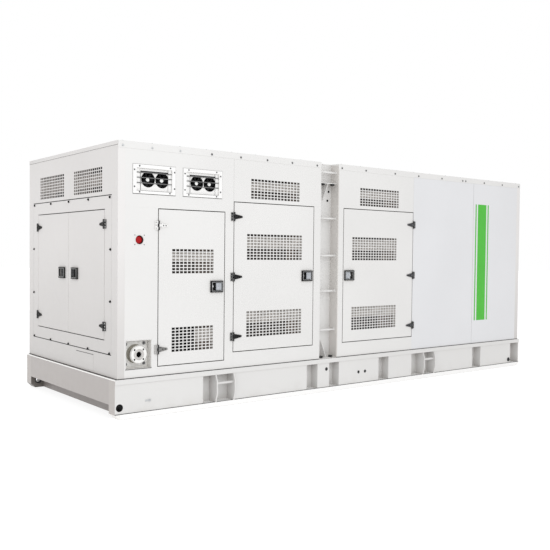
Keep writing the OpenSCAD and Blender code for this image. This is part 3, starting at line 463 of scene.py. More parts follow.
# ---------------------------------------------------------------- Control cabinet
# Sheet-steel cabinet behind the front doors, with a controller, meters, lamps and the breaker.
# Its doors are folded pans on the front, and its fittings are black and grey mouldings.
FACE = 260
PAN_FACE = FACE - 22
PANS = (((-690, -6), (420, 1545)), ((6, 690), (420, 1545)), ((-690, 690), (215, 408)))
CONTROLLER, CONTROLLER_SCREEN = ((150, 450), (1120, 1330)), ((185, 415), (1195, 1305))
METERS = (-520, -390, -260)
METER_HALF, METER_RISE = 48, (1260, 1356)
DIAL_HALF, DIAL_RISE = 40, (1272, 1348)
BREAKER, BREAKER_LEVER = ((-560, -230), (700, 1000)), ((-420, -370), (770, 930))
DOOR_KNOB = (560, 1000)
QUARTER_TURNS = [(across, height) for height in (560, 1400) for across in (-650, 650)]
FORWARDS = (-1, 0, 0)
cabinet_coat = powder_coat("cabinet_coat", (0.42, 0.43, 0.43))
finish_nodes(cabinet_coat, "control_cabinet")
shape = bmesh.new()
for across, rise in PANS:
    bar(shape, (PAN_FACE, FACE + 1), across, rise, 3)
make_piece("cabinet_doors", shape, INSIDE, cabinet_coat)
dark_moulding = flecked("dark_moulding", (0.03, 0.031, 0.033), 0.45, scale=60.0)
shape = bmesh.new()
bar(shape, (PAN_FACE - 22, PAN_FACE + 2), *CONTROLLER, 8, 3)
for across in METERS:
    bar(shape, (PAN_FACE - 12, PAN_FACE + 2), (across - METER_HALF, across + METER_HALF), METER_RISE, 5)
bar(shape, (PAN_FACE - 18, PAN_FACE + 2), *BREAKER, 8, 3)
bar(shape, (PAN_FACE - 56, PAN_FACE - 16), *BREAKER_LEVER, 8, 3)
turned(shape, [(0, -2), (24, -2), (24, 14), (20, 18), (0, 18)], (PAN_FACE, *DOOR_KNOB), FORWARDS)
for place in QUARTER_TURNS:
    turned(shape, [(0, -2), (15, -2), (15, 5), (12, 7), (0, 7)], (PAN_FACE, *place), FORWARDS)
make_piece("cabinet_controls", shape, INSIDE, dark_moulding)
screen_glass = flecked("screen_glass", (0.10, 0.13, 0.12), 0.12, scale=8.0, contrast=0.8, Coat_Weight=0.6)
shape = bmesh.new()
bar(shape, (PAN_FACE - 24, PAN_FACE - 21), *CONTROLLER_SCREEN, 1)
for across in METERS:
    bar(shape, (PAN_FACE - 14, PAN_FACE - 11), (across - DIAL_HALF, across + DIAL_HALF), DIAL_RISE, 1)
make_piece("cabinet_screens", shape, INSIDE, screen_glass)
signal_red = flecked("signal_red", (0.52, 0.018, 0.018), 0.26, scale=80.0, contrast=0.85, Coat_Weight=0.3)
lamp_green = flecked("lamp_green", (0.03, 0.35, 0.07), 0.25, scale=80.0, contrast=0.85)
LAMP = [(0, -2), (15, -2), (15, 4), (11, 4), (11, 10), (9, 14), (5, 17), (0, 18)]
BUTTON = [(0.7 * radius, 0.4 * along) for radius, along in LAMP]
for name, outline, base, finish, slot, places in (
        ("red_lamps", LAMP, PAN_FACE + 1, signal_red, "signal_red", [(560, 1260), (-520, 1150)]),
        ("green_lamps", LAMP, PAN_FACE + 1, lamp_green, "black_hardware",
         [(560, 1180), (-450, 1150), (-380, 1150)]),
        ("push_buttons", BUTTON, PAN_FACE - 21, zinc_plate, "black_hardware",
         [(across, 1155) for across in range(190, 391, 50)])):
    shape = bmesh.new()
    for place in places:
        turned(shape, outline, (base, *place), FORWARDS, steps=20)
    make_piece(name, shape, INSIDE, finish)

# Louvre slats over the lower pan
slat_tree, given = new_tree("slats", ("First", "Vector"), ("Apart", "Vector"), ("Count", "Int"),
                            ("Size", "Vector"), ("Tilt", "Vector"))
row = add_node(slat_tree, "GeometryNodeMeshLine",
               {"Count": given["Count"], "Start Location": given["First"], "Offset": given["Apart"]},
               mode="OFFSET").outputs[0]
slat = add_node(slat_tree, "GeometryNodeMeshCube", {"Size": given["Size"]}).outputs[0]
slats = add_node(slat_tree, "GeometryNodeInstanceOnPoints",
                 {"Points": row, "Instance": slat, "Rotation": given["Tilt"]}).outputs[0]
end_tree(slat_tree, given, slats)


def slat_row(name, side, first, apart, count, size, finish, tilt=(0, 0, 0), body="root"):
    """A row of like slats, in mm on one side of the set."""
    start = bpy.data.meshes.new(name)
    values = {"First": first, "Apart": apart, "Count": count, "Size": size, "Tilt": tilt}
    return grow(name, slat_tree, start, values, finish, body, turn=side)


slat_row("cabinet_vent", INSIDE, (PAN_FACE - 2, 0, 240), (0, 0, 14), 11, (6, 900, 5), cabinet_coat,
         tilt=(0, 0.5, 0))

# ---------------------------------------------------------------- Alternator
# Round welded frame with cooling ribs, a cast ring at each end and a bell over its bearing.
# The terminal box on top has a lid and two side hatches, and all is painted machine grey.
CRANK = 700
ALTERNATOR = (1450, 2450)
DRUM_RADIUS = 390
END_RING = [(DRUM_RADIUS - 6, 0), (DRUM_RADIUS + 14, 0), (DRUM_RADIUS + 18, 4), (DRUM_RADIUS + 18, 36),
            (DRUM_RADIUS + 14, 40), (DRUM_RADIUS - 6, 40)]
TERMINAL_LID, LID_RISE = ((1585, 2265), (-315, 315)), (1310, 1346)
HATCHES, HATCH_HALF, HATCH_DEPTH, HATCH_RISE = (1760, 2090), 120, (-312, -296), (1110, 1290)
RIB_STEP, RIB_INSET = 12, 90
BARE_ARCS = ((40, 140), (220, 320))
ALONG = (1, 0, 0)


def machine_paint(name, colour):
    """Brushed-on enamel over rough castings, with oily darkening in soft patches."""
    finish, tree, shader, place = new_finish(name, Coat_Weight=0.1, Coat_Roughness=0.3)
    patches = spread(tree, grain(tree, place, 5.0, 6.0), 0.4, 0.75)
    tree.links.new(blend(tree, patches, colour, [0.55 * c for c in colour]), shader.inputs["Base Color"])
    tree.links.new(spread(tree, grain(tree, place, 22.0), 0.3, 0.7, 0.35, 0.55), shader.inputs["Roughness"])
    raise_surface(tree, shader, grain(tree, place, 240.0, 3.0), 0.0003, 0.003)
    return finish


alternator_paint = machine_paint("alternator_paint", (0.16, 0.19, 0.20))
finish_nodes(alternator_paint, "alternator")
shape = bmesh.new()
for along in (ALTERNATOR[0] + 2, ALTERNATOR[1] - 42):
    turned(shape, END_RING, (along, 0, CRANK), ALONG, 64, True)
turned(shape, [(0, 0), (300, 0), (300, -30), (270, -60), (150, -78), (0, -78)], (ALTERNATOR[0] + 1, 0, CRANK),
       ALONG, 48)
bar(shape, *TERMINAL_LID, LID_RISE, 6)
for along in HATCHES:
    bar(shape, (along - HATCH_HALF, along + HATCH_HALF), HATCH_DEPTH, HATCH_RISE, 5)
for degree in range(0, 360, RIB_STEP):
    if any(low < degree < high for low, high in BARE_ARCS):
        continue
    start = len(shape.verts)
    bar(shape, (ALTERNATOR[0] + RIB_INSET, ALTERNATOR[1] - RIB_INSET), (-4, 4),
        (DRUM_RADIUS - 4, DRUM_RADIUS + 16), 2, 1)
    shape.verts.ensure_lookup_table()
    rib = [shape.verts[i] for i in range(start, len(shape.verts))]
    spin = Matrix.Translation((0, 0, CRANK)) @ Matrix.Rotation(math.radians(degree - 90), 4, "X")
    bmesh.ops.transform(shape, matrix=spin, verts=rib)
make_piece("alternator_frame", shape, INSIDE, alternator_paint)

# ---------------------------------------------------------------- Engine
# Six-cylinder gas engine: rocker covers on the heads, a cast exhaust manifold with its runners,
# turbocharger, oil filters, damper and belt pulleys, and an air cleaner over the far side.
UP = (0, 0, 1)
HEADS = [2600 + 210 * number for number in range(6)]
HEAD_TOP = 1190
SUMP_RIBS, SUMP_HALF, SUMP_RISE = range(2700, 3761, 130), 232, (250, 415)
SUMP_FLANGE = ((2690, 3770), (-238, 238), (398, 424))
FLYWHEEL_FACE, DAMPER_FACE, PULLEY_FACE = 2449, 3918, 3955
MANIFOLD = (-350, 1000)
TURBO = (3200, -410, 1190)
SILENCED_PIPE = [(3110, -410, 1190), (2990, -410, 1190), (2990, -410, 1930), (4760, -410, 1960),
                 (5390, -410, 1960), (5390, -410, 1640)]
OIL_FILTERS = (3290, 3420)
HOSES = (([(3860, 120, 1120), (4010, 120, 1150), (4300, 160, 1640), (4450, 160, 1640)], 44),
         ([(3820, -160, 520), (4020, -260, 420), (4300, -420, 200), (4450, -420, 200)], 44),
         ([(3610, 300, 1100), (3700, 300, 1100), (3700, 300, 1240), (3700, 430, 1330)], 70))
CLEANER = (430, 1330)
PULLEYS = (((0, CRANK), 130), ((0, 1010), 90), ((-220, 900), 60))


def tube(shape, route, radius, steps=16, bends=5):
    """Adds a round pipe along a route of points, its corners bent to twice its radius."""
    points = [Vector(p) for p in route]
    path = [points[0]]
    for before, corner, after in zip(points, points[1:], points[2:]):
        reach = min(2.2 * radius, 0.48 * (corner - before).length, 0.48 * (after - corner).length)
        first = corner + (before - corner).normalized() * reach
        last = corner + (after - corner).normalized() * reach
        for i in range(bends + 1):
            t = i / bends
            path.append((1 - t) ** 2 * first + 2 * t * (1 - t) * corner + t ** 2 * last)
    path.append(points[-1])
    rings, side_way = [], None
    for i, point in enumerate(path):
        way = (path[min(i + 1, len(path) - 1)] - path[max(i - 1, 0)]).normalized()
        if side_way is None:
            side_way = way.orthogonal().normalized()
        side_way = (side_way - way * side_way.dot(way)).normalized()
        other = way.cross(side_way)
        rings.append([shape.verts.new(point + radius * (math.cos(a) * side_way + math.sin(a) * other))
                      for a in [2 * math.pi * k / steps for k in range(steps)]])
    for lower, upper in zip(rings, rings[1:]):
        for k in range(steps):
            shape.faces.new([lower[k], lower[(k + 1) % steps], upper[(k + 1) % steps], upper[k]])
    shape.faces.new(rings[0])
    shape.faces.new(rings[-1])


engine_paint = machine_paint("engine_paint", (0.20, 0.22, 0.21))
cast_iron = flecked("cast_iron", (0.16, 0.125, 0.105), 0.7, metallic=0.2, scale=30.0, depth=0.0005)
finish_nodes(engine_paint, "engine")
shape = bmesh.new()
for along in HEADS:
    bar(shape, (along + 12, along + 178), (-170, 140), (HEAD_TOP - 2, HEAD_TOP + 22), 4)
    bar(shape, (along + 20, along + 170), (-160, 130), (HEAD_TOP + 18, HEAD_TOP + 78), 16, 3)
    turned(shape, [(0, 0), (26, 0), (26, 14), (22, 18), (0, 18)], (along + 95, -15, HEAD_TOP + 74), UP)
for along in SUMP_RIBS:
    bar(shape, (along - 6, along + 6), (-SUMP_HALF, SUMP_HALF), SUMP_RISE, 2, 1)
bar(shape, *SUMP_FLANGE, 4)
turned(shape, [(300, 0), (424, 0), (428, 5), (428, 24), (424, 28), (300, 28)], (FLYWHEEL_FACE, 0, CRANK),
       ALONG, 64, True)
turned(shape, [(0, 0), (70, 0), (70, 26), (0, 26)], (DAMPER_FACE, 0, CRANK), ALONG, 32)
make_piece("engine_covers", shape, INSIDE, engine_paint)
shape = bmesh.new()
for along in HEADS:
    tube(shape, [(along + 95, -175, 1130), (along + 95, -300, 1130), (along + 125, -350, 1010)], 34)
    bar(shape, (along + 45, along + 145), (-198, -178), (1080, 1180), 8)
tube(shape, [(2610, *MANIFOLD), (3790, *MANIFOLD)], 58)
for along in HEADS[1:]:
    turned(shape, [(58, -12), (76, -10), (76, 10), (58, 12)], (along - 10, *MANIFOLD), ALONG, 24, True)
turned(shape, [(0, -96), (70, -96), (110, -70), (124, -30), (124, 20), (104, 50), (60, 64), (60, 110),
               (96, 120), (128, 140), (136, 180), (118, 214), (76, 236), (76, 262), (0, 262)],
       TURBO, ALONG, 40)
tube(shape, [(3200, *MANIFOLD), (3200, -380, 1100), (3200, -400, 1190)], 56)
tube(shape, SILENCED_PIPE, 72, bends=8)
make_piece("exhaust_manifold_and_pipe", shape, INSIDE, cast_iron)
shape = bmesh.new()
for along in OIL_FILTERS:
    tube(shape, [(along, -300, 640), (along, -352, 640), (along, -352, 600)], 30)
    turned(shape, [(0, 0), (40, 0), (48, -8), (48, -140), (40, -152), (0, -152)], (along, -352, 620), UP, 28)
for route, radius in HOSES:
    tube(shape, route, radius, bends=8)
make_piece("hoses_and_filters", shape, INSIDE, black_rubber)
shape = bmesh.new()
turned(shape, [(0, 0), (150, 0), (165, 12), (165, 60), (158, 66), (158, 560), (165, 566), (165, 610),
               (150, 625), (0, 625)], (3070, *CLEANER), ALONG, 48)
turned(shape, [(0, 0), (92, 0), (92, 90), (80, 100), (0, 100)], (3050, *CLEANER), FORWARDS, 32)
make_piece("air_cleaner", shape, INSIDE, dark_moulding)
shape = bmesh.new()
for centre, radius in PULLEYS:
    turned(shape, [(20, -20), (radius, -20), (radius, -14), (radius - 12, -8), (radius - 12, 8),
                   (radius, 14), (radius, 20), (20, 20)], (PULLEY_FACE, *centre), ALONG, 40, True)
turned(shape, [(0, 0), (36, 0), (36, 400), (0, 400)], (3940, 0, 850), ALONG, 24)
make_piece("pulleys_and_fan_shaft", shape, INSIDE, zinc_plate)

# ---------------------------------------------------------------- Radiator
# Tube-and-fin core in a black frame, with a rolled rim on its round cowl and two pads on top.
# The tubes run upright, with thin fins across them, on both faces of the core.
RADIATOR_FACES = (4450, 4570)
TUBE_APART, TUBE_COUNT, TUBE_SIZE = 22, 73, (12, 9, 1738)
FIN_APART, FIN_COUNT, FIN_SIZE = 28.6, 61, (5, 1600, 2)
CORE_FOOT, CORE_MIDDLE = 92, 950
COWL_PLACE = (4330, 0, 850)
TANK_PADS, PAD_HALF, PAD_SPAN, PAD_RISE = (-700, 700), 60, (4408, 4612), (1898, 1912)
black_paint = flecked("black_paint", (0.035, 0.036, 0.038), 0.45, scale=20.0)
finish_nodes(black_paint, "radiator")
core_metal = flecked("core_metal", (0.30, 0.30, 0.31), 0.5, metallic=0.6, scale=15.0, contrast=0.6)
for face, name in zip(RADIATOR_FACES, ("near", "far")):
    slat_row("radiator_tubes_" + name, INSIDE, (face, -TUBE_APART * (TUBE_COUNT - 1) / 2, CORE_MIDDLE),
             (0, TUBE_APART, 0), TUBE_COUNT, TUBE_SIZE, core_metal)
    slat_row("radiator_fins_" + name, INSIDE, (face, 0, CORE_FOOT), (0, 0, FIN_APART), FIN_COUNT, FIN_SIZE,
             core_metal)
shape = bmesh.new()
turned(shape, [(610, 0), (652, 0), (656, 5), (656, 12), (640, 16), (610, 16)], COWL_PLACE, ALONG, 64, True)
for across in TANK_PADS:
    bar(shape, PAD_SPAN, (across - PAD_HALF, across + PAD_HALF), PAD_RISE, 3)
make_piece("cowl_rim", shape, INSIDE, black_paint)

# ---------------------------------------------------------------- Fuel valve
# A cast valve body lacquered red, on the gas pipe low down behind the third door.
# The pipe is plated steel: it rises from the floor, and turns in to the engine above the valve.
WALL_OUTSIDE = 1070
VALVE = (3760, 700, 258)
VALVE_HALF = (42, 22, 60)
GAS_PIPE_RADIUS = 21
valve_red = flecked("valve_red", (0.90, 0.42, 0.46), 0.4, scale=60.0)
shape = bmesh.new()
bar(shape, *[(middle - half, middle + half) for middle, half in zip(VALVE, VALVE_HALF)], 14, 3)
turned(shape, [(0, 20), (24, 20), (24, 52), (18, 58), (0, 58)], VALVE, OUT, steps=24)
make_piece("fuel_valve", shape, RIGHT, valve_red)
along, inwards, height = VALVE
across, bend = inwards - WALL_OUTSIDE, height + 190
shape = bmesh.new()
tube(shape, [(along, across, height - 55), (along, across, 2)], GAS_PIPE_RADIUS)
tube(shape, [(along, across, height + 55), (along, across, bend), (along, -230, bend)], GAS_PIPE_RADIUS)
make_piece("fuel_pipe", shape, INSIDE, zinc_plate)

# ---------------------------------------------------------------- Canopy walls and roof
# Cassettes of folded sheet, powder-coated in off-white, with felt sound lining on their inner
# faces. A painted baffle stands behind each punched vent, its coat darkened and streaked as
# painted shade.
CANOPY_WHITE = (0.69, 0.68, 0.67)
BAFFLE_SHADE_GREY = (0.64, 0.60, 0.56)
EDGE_SHADE = (0.10, 0.095, 0.09)
LOW_SHADE = (0.36, 0.345, 0.33)
FELT = ((0.30, 0.29, 0.27), (0.17, 0.165, 0.15))
GAP_LIP, BAFFLE_DEPTH, LINING_DEPTH = 0.006, 0.024, 0.046
LOW_SHADE_HEIGHT = 1.3


def lined_panel(name, axis, outer_face, baffle, colour=CANOPY_WHITE, low_shading=0.0):
    """Powder coat with painted shade on its baffles, on its edges in gaps and low on the ends, and felt
    further in.
    """
    finish = powder_coat(name, colour)
    tree = finish.node_tree
    shader = tree.nodes["Principled BSDF"]
    coat = shader.inputs["Base Color"].links[0].from_socket
    where = next(node for node in tree.nodes if node.type == "TEX_COORD").outputs
    place = add_node(tree, "ShaderNodeSeparateXYZ", {0: where["Object"]}).outputs[axis]
    facing = add_node(tree, "ShaderNodeSeparateXYZ", {0: where["Normal"]}).outputs[axis]
    level = sum_of(tree, "GREATER_THAN", sum_of(tree, "ABSOLUTE", facing), 0.7)
    height = add_node(tree, "ShaderNodeSeparateXYZ", {0: where["Object"]}).outputs["Z"]
    # Painted shade: darker towards the foot of the wall.
    low_down = spread(tree, height, base_top + LOW_SHADE_HEIGHT, base_top, 0.0, low_shading)
    coat = blend(tree, low_down, coat, LOW_SHADE)
    if low_shading:
        upright = add_node(tree, "ShaderNodeSeparateXYZ", {0: where["Normal"]}).outputs["Z"]
        edge = sum_of(tree, "GREATER_THAN", sum_of(tree, "ABSOLUTE", upright), 0.5)
    else:
        edge = sum_of(tree, "SUBTRACT", 1.0, level)
    in_gap = sum_of(tree, "LESS_THAN", sum_of(tree, "ABSOLUTE", place), abs(outer_face) - GAP_LIP)
    coat = blend(tree, sum_of(tree, "MULTIPLY", in_gap, edge), coat, EDGE_SHADE)
    shade_streaks = spread(tree, grain(tree, where["Object"], 7.0, 5.0, stretch=(1, 1, 9)), 0.35, 0.65)
    weave = spread(tree, grain(tree, where["Object"], 160.0, 3.0), 0.3, 0.7)
    # Painted shade: the baffles get a darker, streaked copy of the coat.
    for depth, colour in ((BAFFLE_DEPTH, blend(tree, shade_streaks, baffle, [0.6 * c for c in baffle])),
                          (LINING_DEPTH, blend(tree, weave, *FELT))):
        further_in = sum_of(tree, "LESS_THAN", sum_of(tree, "ABSOLUTE", place), abs(outer_face) - depth)
        coat = blend(tree, sum_of(tree, "MULTIPLY", further_in, level), coat, colour)
    tree.links.new(coat, shader.inputs["Base Color"])
    return finish


side_panel = lined_panel("side_panel", "Y", canopy_side, BAFFLE_SHADE_GREY)
# Painted light: the rear panels are a cooler copy and the end panels a warmer copy of the same paint.
rear_panel = lined_panel("rear_panel", "Y", canopy_side, BAFFLE_SHADE_GREY, (0.675, 0.675, 0.69))
end_panel = lined_panel("end_panel", "X", canopy_front, (0.58, 0.52, 0.48), (0.70, 0.68, 0.67), low_shading=0.4)
canopy_coat = powder_coat("canopy_coat", CANOPY_WHITE)
finish_nodes(side_panel, "right_wall_posts", "right_wall_headers", "right_wall_sills",
             "left_wall", "left_doors")
finish_nodes(rear_panel, "right_plenum_panels")
finish_nodes(end_panel, "front_end_wall", "front_access_panel", "rear_end_wall", "rear_access_panel")
finish_nodes(canopy_coat, "roof_panels", "roof_discharge_grille", "ladder_rungs")

# ---------------------------------------------------------------- Panel screws
# Flanged screws along the tops of the walls and round the end panels, each left turned to its
# own angle. The first three of a wall are bright zinc, and the others have a dark flake coat.
TOP_SCREWS = [46, 340, 635, 985, 1327, 1657, 1983, 2327, 2691, 3059, 3535, 3944, 4371, 4775, 4835,
              5216, 5604, 5976]
TOP_SCREW_HEIGHT = 2083
FLANGE_FACE = -1.5
END_SCREWS = ([(across, height) for across in (-916, -458, 0, 458, 916) for height in (218, 1630)]
              + [(across, height) for across in (-930, 930) for height in (690, 1160)])
fastener_tree, given = new_tree(
    "fasteners", ("Head sides", "Int"), ("Head radius", "Float"), ("Head height", "Float"),
    ("Crown", "Float"), ("Washer radius", "Float"), ("Washer height", "Float"))


def raised_by(tree, solid, height):
    """A centred solid, lifted so that its foot is at a height."""
    lift = add_node(tree, "ShaderNodeCombineXYZ", {"Z": height}).outputs[0]
    return add_node(tree, "GeometryNodeTransform", {"Geometry": solid, "Translation": lift}).outputs[0]


washer = add_node(fastener_tree, "GeometryNodeMeshCylinder",
                  {"Vertices": 18, "Radius": given["Washer radius"], "Depth": given["Washer height"]})
washer = raised_by(fastener_tree, washer.outputs[0],
                   sum_of(fastener_tree, "MULTIPLY", given["Washer height"], 0.5))
shank = sum_of(fastener_tree, "MULTIPLY", given["Head height"], 0.6)
head = add_node(fastener_tree, "GeometryNodeMeshCylinder",
                {"Vertices": given["Head sides"], "Radius": given["Head radius"], "Depth": shank})
head_foot = sum_of(fastener_tree, "MULTIPLY_ADD", shank, 0.5, given["Washer height"])
head = raised_by(fastener_tree, head.outputs[0], head_foot)
way_up = add_node(fastener_tree, "ShaderNodeSeparateXYZ",
                  {0: add_node(fastener_tree, "GeometryNodeInputNormal").outputs[0]}).outputs["Z"]
crowned = add_node(fastener_tree, "GeometryNodeExtrudeMesh",
                   {"Mesh": head, "Selection": sum_of(fastener_tree, "GREATER_THAN", way_up, 0.5),
                    "Offset Scale": sum_of(fastener_tree, "MULTIPLY", given["Head height"], 0.4)})
crowned = add_node(fastener_tree, "GeometryNodeScaleElements",
                   {"Geometry": crowned.outputs["Mesh"], "Selection": crowned.outputs["Top"],
                    "Scale": given["Crown"]}).outputs[0]
both = add_node(fastener_tree, "GeometryNodeJoinGeometry").outputs[0]
for part in (washer, crowned):
    fastener_tree.links.new(part, both.node.inputs[0])
facing = add_node(fastener_tree, "GeometryNodeInputNamedAttribute", {"Name": "facing"},
                  data_type="FLOAT_VECTOR").outputs[0]
square_on = add_node(fastener_tree, "FunctionNodeAlignRotationToVector", {"Vector": facing}, axis="Z")
own_turn = add_node(fastener_tree, "FunctionNodeRandomValue", {2: 0.0, 3: 3.1, "Seed": 11}, data_type="FLOAT")
spin = add_node(fastener_tree, "FunctionNodeAxisAngleToRotation", {"Angle": own_turn.outputs[1]})
turn = add_node(fastener_tree, "FunctionNodeRotateRotation",
                {0: square_on.outputs[0], 1: spin.outputs[0]}, rotation_space="LOCAL").outputs[0]
heads = add_node(fastener_tree, "GeometryNodeInstanceOnPoints",
                 {"Points": given["Start"], "Instance": both, "Rotation": turn}).outputs[0]
end_tree(fastener_tree, given, heads)


def fastener(sides, radius, height, crown, washer_radius, washer_height):
    """The sizes of one kind of fastener: its head, how far its crown draws in, and its washer."""
    return {"Head sides": sides, "Head radius": radius, "Head height": height, "Crown": crown,
            "Washer radius": washer_radius, "Washer height": washer_height}


FLANGED_SCREW = fastener(6, 0.0065, 0.0055, 0.86, 0.0105, 0.0018)
END_SCREW = fastener(6, 0.0105, 0.0085, 0.86, 0.0125, 0.0018)
DOME_RIVET = fastener(16, 0.0055, 0.004, 0.6, 0.008, 0.0008)
M10_BOLT = fastener(6, 0.0098, 0.0065, 0.88, 0.0125, 0.002)


def fasten(name, spots, kind, finish, body="root"):
    """Fasteners of one kind: each spot is a side of the set, a place on it in mm and its way out."""
    start = bpy.data.meshes.new(name)
    start.from_pydata([side @ Vector(place) for side, place, way in spots], [], [])
    ways = start.attributes.new("facing", "FLOAT_VECTOR", "POINT")
    for entry, (side, place, way) in zip(ways.data, spots):
        entry.vector = (side.to_3x3() @ Vector(way)).normalized()
    return grow(name, fastener_tree, start, kind, finish, body)


bolt_black = flecked("bolt_black", (0.010, 0.010, 0.011), 0.5, scale=90.0, Specular_IOR_Level=0.15)
flake_grey = flecked("flake_grey", (0.17, 0.17, 0.175), 0.5, metallic=0.3, scale=90.0)
for name, finish, screws in (("near", zinc_plate, TOP_SCREWS[:3]), ("far", flake_grey, TOP_SCREWS[3:])):
    spots = [(side, (along, FLANGE_FACE, TOP_SCREW_HEIGHT), OUT)
             for side in (RIGHT, LEFT) for along in screws]
    fasten("side_top_screws_" + name, spots, FLANGED_SCREW, finish)
spots = [(side, (across, 0, height), OUT) for side in (FRONT, REAR) for across, height in END_SCREWS]
fasten("end_panel_screws", spots, END_SCREW, bolt_black)

# ---------------------------------------------------------------- Panel edges
# The roof's folded flanges lap the walls, and black strips under the end flanges, along the
# end panels' joints and on top of the cable covers are painted shade: their shadow lines.
# A small cover plate closes the cable entry low on each end.
ROOF_TOP = 2125
FLANGE_TOP = ROOF_TOP - 0.5
SIDE_FLANGE_FOOT, END_FLANGE_FOOT = 2062, 2088
PANEL_JOINTS, JOINT_HALF, LINE_HALF = (208, 1650), 950, 4
COVER_SPAN, COVER_RISE = (189, 580), (22, 171)
for name, side in (("right", RIGHT), ("left", LEFT)):
    shape = bmesh.new()
    for span in WALL_SPANS:
        bar(shape, span, (FLANGE_FACE, 0.5), (SIDE_FLANGE_FOOT, FLANGE_TOP), 0.7, 1)
    make_piece("roof_flange_" + name, shape, side, canopy_coat)
for name, side in (("front", FRONT), ("rear", REAR)):
    shape = bmesh.new()
    bar(shape, (-WALL_HALF, WALL_HALF), (-3, 0.5), (END_FLANGE_FOOT, FLANGE_TOP), 1.2)
    make_piece("roof_flange_" + name, shape, side, end_panel)
    shape = bmesh.new()
    bar(shape, COVER_SPAN, (-1.2, 0.5), COVER_RISE, 0.5, 1)
    make_piece("cable_cover_" + name, shape, side, end_panel)
    # Painted shade: black strips for the shadow lines under the flange, at the joints and over the cover.
    shape = bmesh.new()
    bar(shape, (-WALL_HALF, WALL_HALF), (-0.8, 0.5), (END_FLANGE_FOOT - 2, END_FLANGE_FOOT), 0.3, 1)
    for height in PANEL_JOINTS:
        bar(shape, (-JOINT_HALF, JOINT_HALF), (-0.8, 0.5), (height - LINE_HALF, height + LINE_HALF), 0.3, 1)
    bar(shape, COVER_SPAN, (-1.6, 0.5), (COVER_RISE[1] - 0.5, COVER_RISE[1] + 4), 0.5, 1)
    make_piece("panel_shade_lines_" + name, shape, side, black_rubber)

# ---------------------------------------------------------------- Roof strips
# Capping strips over the two joints of the roof, shallow folded sheet bedded on sealant and
# held down by two rows of rivets. Screws follow the roof's edges, and a kerb frames its outlet.
ROOF_JOINTS = {2514: 930, 4805: 1050}
STRIP_HALF, CROWN_HALF, RIVET_ROW = 38, 22, 30
STRIP_RISE, CROWN_RISE = (ROOF_TOP - 1, ROOF_TOP + 1.5), (ROOF_TOP, ROOF_TOP + 5)
EDGE_SCREW_ACROSS, END_ROWS = 1040, (30, 5980)
OUTLET, OUTLET_HALF = (4860, 5920), 775
KERB = 20
KERB_RISE = (ROOF_TOP - 1, ROOF_TOP + 7)
shape = bmesh.new()
for along, half in ROOF_JOINTS.items():
    bar(shape, (along - STRIP_HALF, along + STRIP_HALF), (-half, half), STRIP_RISE, 0.7, 1)
    bar(shape, (along - CROWN_HALF, along + CROWN_HALF), (-half, half), CROWN_RISE, 3)
make_piece("roof_capping", shape, INSIDE, canopy_coat)
rows = [(INSIDE, (along + step, across, STRIP_RISE[1]), UP) for along in ROOF_JOINTS
        for step in (-RIVET_ROW, RIVET_ROW) for across in range(-900, 901, 150)]
fasten("roof_capping_rivets", rows, DOME_RIVET, zinc_plate)
niche_middle = sum(NICHE_EDGES) / 2
edge = [(INSIDE, (along, across, ROOF_TOP), UP) for along in range(60, 6000, 294)
        for across in (-EDGE_SCREW_ACROSS, EDGE_SCREW_ACROSS) if abs(along - niche_middle) > 170]
edge += [(INSIDE, (along, across, ROOF_TOP), UP) for along in END_ROWS for across in range(-900, 901, 300)]
fasten("roof_edge_screws", edge, FLANGED_SCREW, zinc_plate)
shape = bmesh.new()
for near in (OUTLET[0], OUTLET[1] - KERB):
    bar(shape, (near, near + KERB), (-OUTLET_HALF, OUTLET_HALF), KERB_RISE, 2)
for across in (-OUTLET_HALF, OUTLET_HALF):
    bar(shape, OUTLET, (across - KERB / 2, across + KERB / 2), KERB_RISE, 2)
make_piece("outlet_kerb", shape, INSIDE, canopy_coat)

# ---------------------------------------------------------------- Doors
# Five hinged cassettes with felt pads inside, held on by pins with speed washers. Each closes on
# a black rubber seal, which is painted pale down the front doors as painted light in their gaps.
Vent = namedtuple("Vent", "middle height columns rows rows_open")
RIGHT_DOORS = {
    "right_door_1": ((408, 1143, 89, 1537), (Vent(784, 1057, 11, 8, 4), Vent(784, 325, 11, 8, 3))),
    "right_door_2": ((1251, 2289, 162, 1642), (Vent(1769, 1202, 17, 9, 4), Vent(1769, 429, 17, 9, 5))),
    "right_door_3": ((2725, 3858, 162, 1644), (Vent(3218, 1202, 17, 9, 4), Vent(3218, 421, 17, 9, 5)))}
FRONT_DOORS = {"front_door_left": ((-808, 0, 332, 1525), ()), "front_door_right": ((0, 808, 332, 1525), ())}
VENT_PITCH = (42.5, 29.4)
VENT_MARGIN = 14
LEAF_BACK = 50
PAD_INSET, PAD_THICK, LEAST_PAD = 45, 16, 40
PIN_SPACING = 260
SPEED_WASHER = fastener(12, 0.0025, 0.003, 0.7, 0.016, 0.0012)
INWARDS = (0, 1, 0)
LIT_SEAL_RISE = (0.345, 1.512)
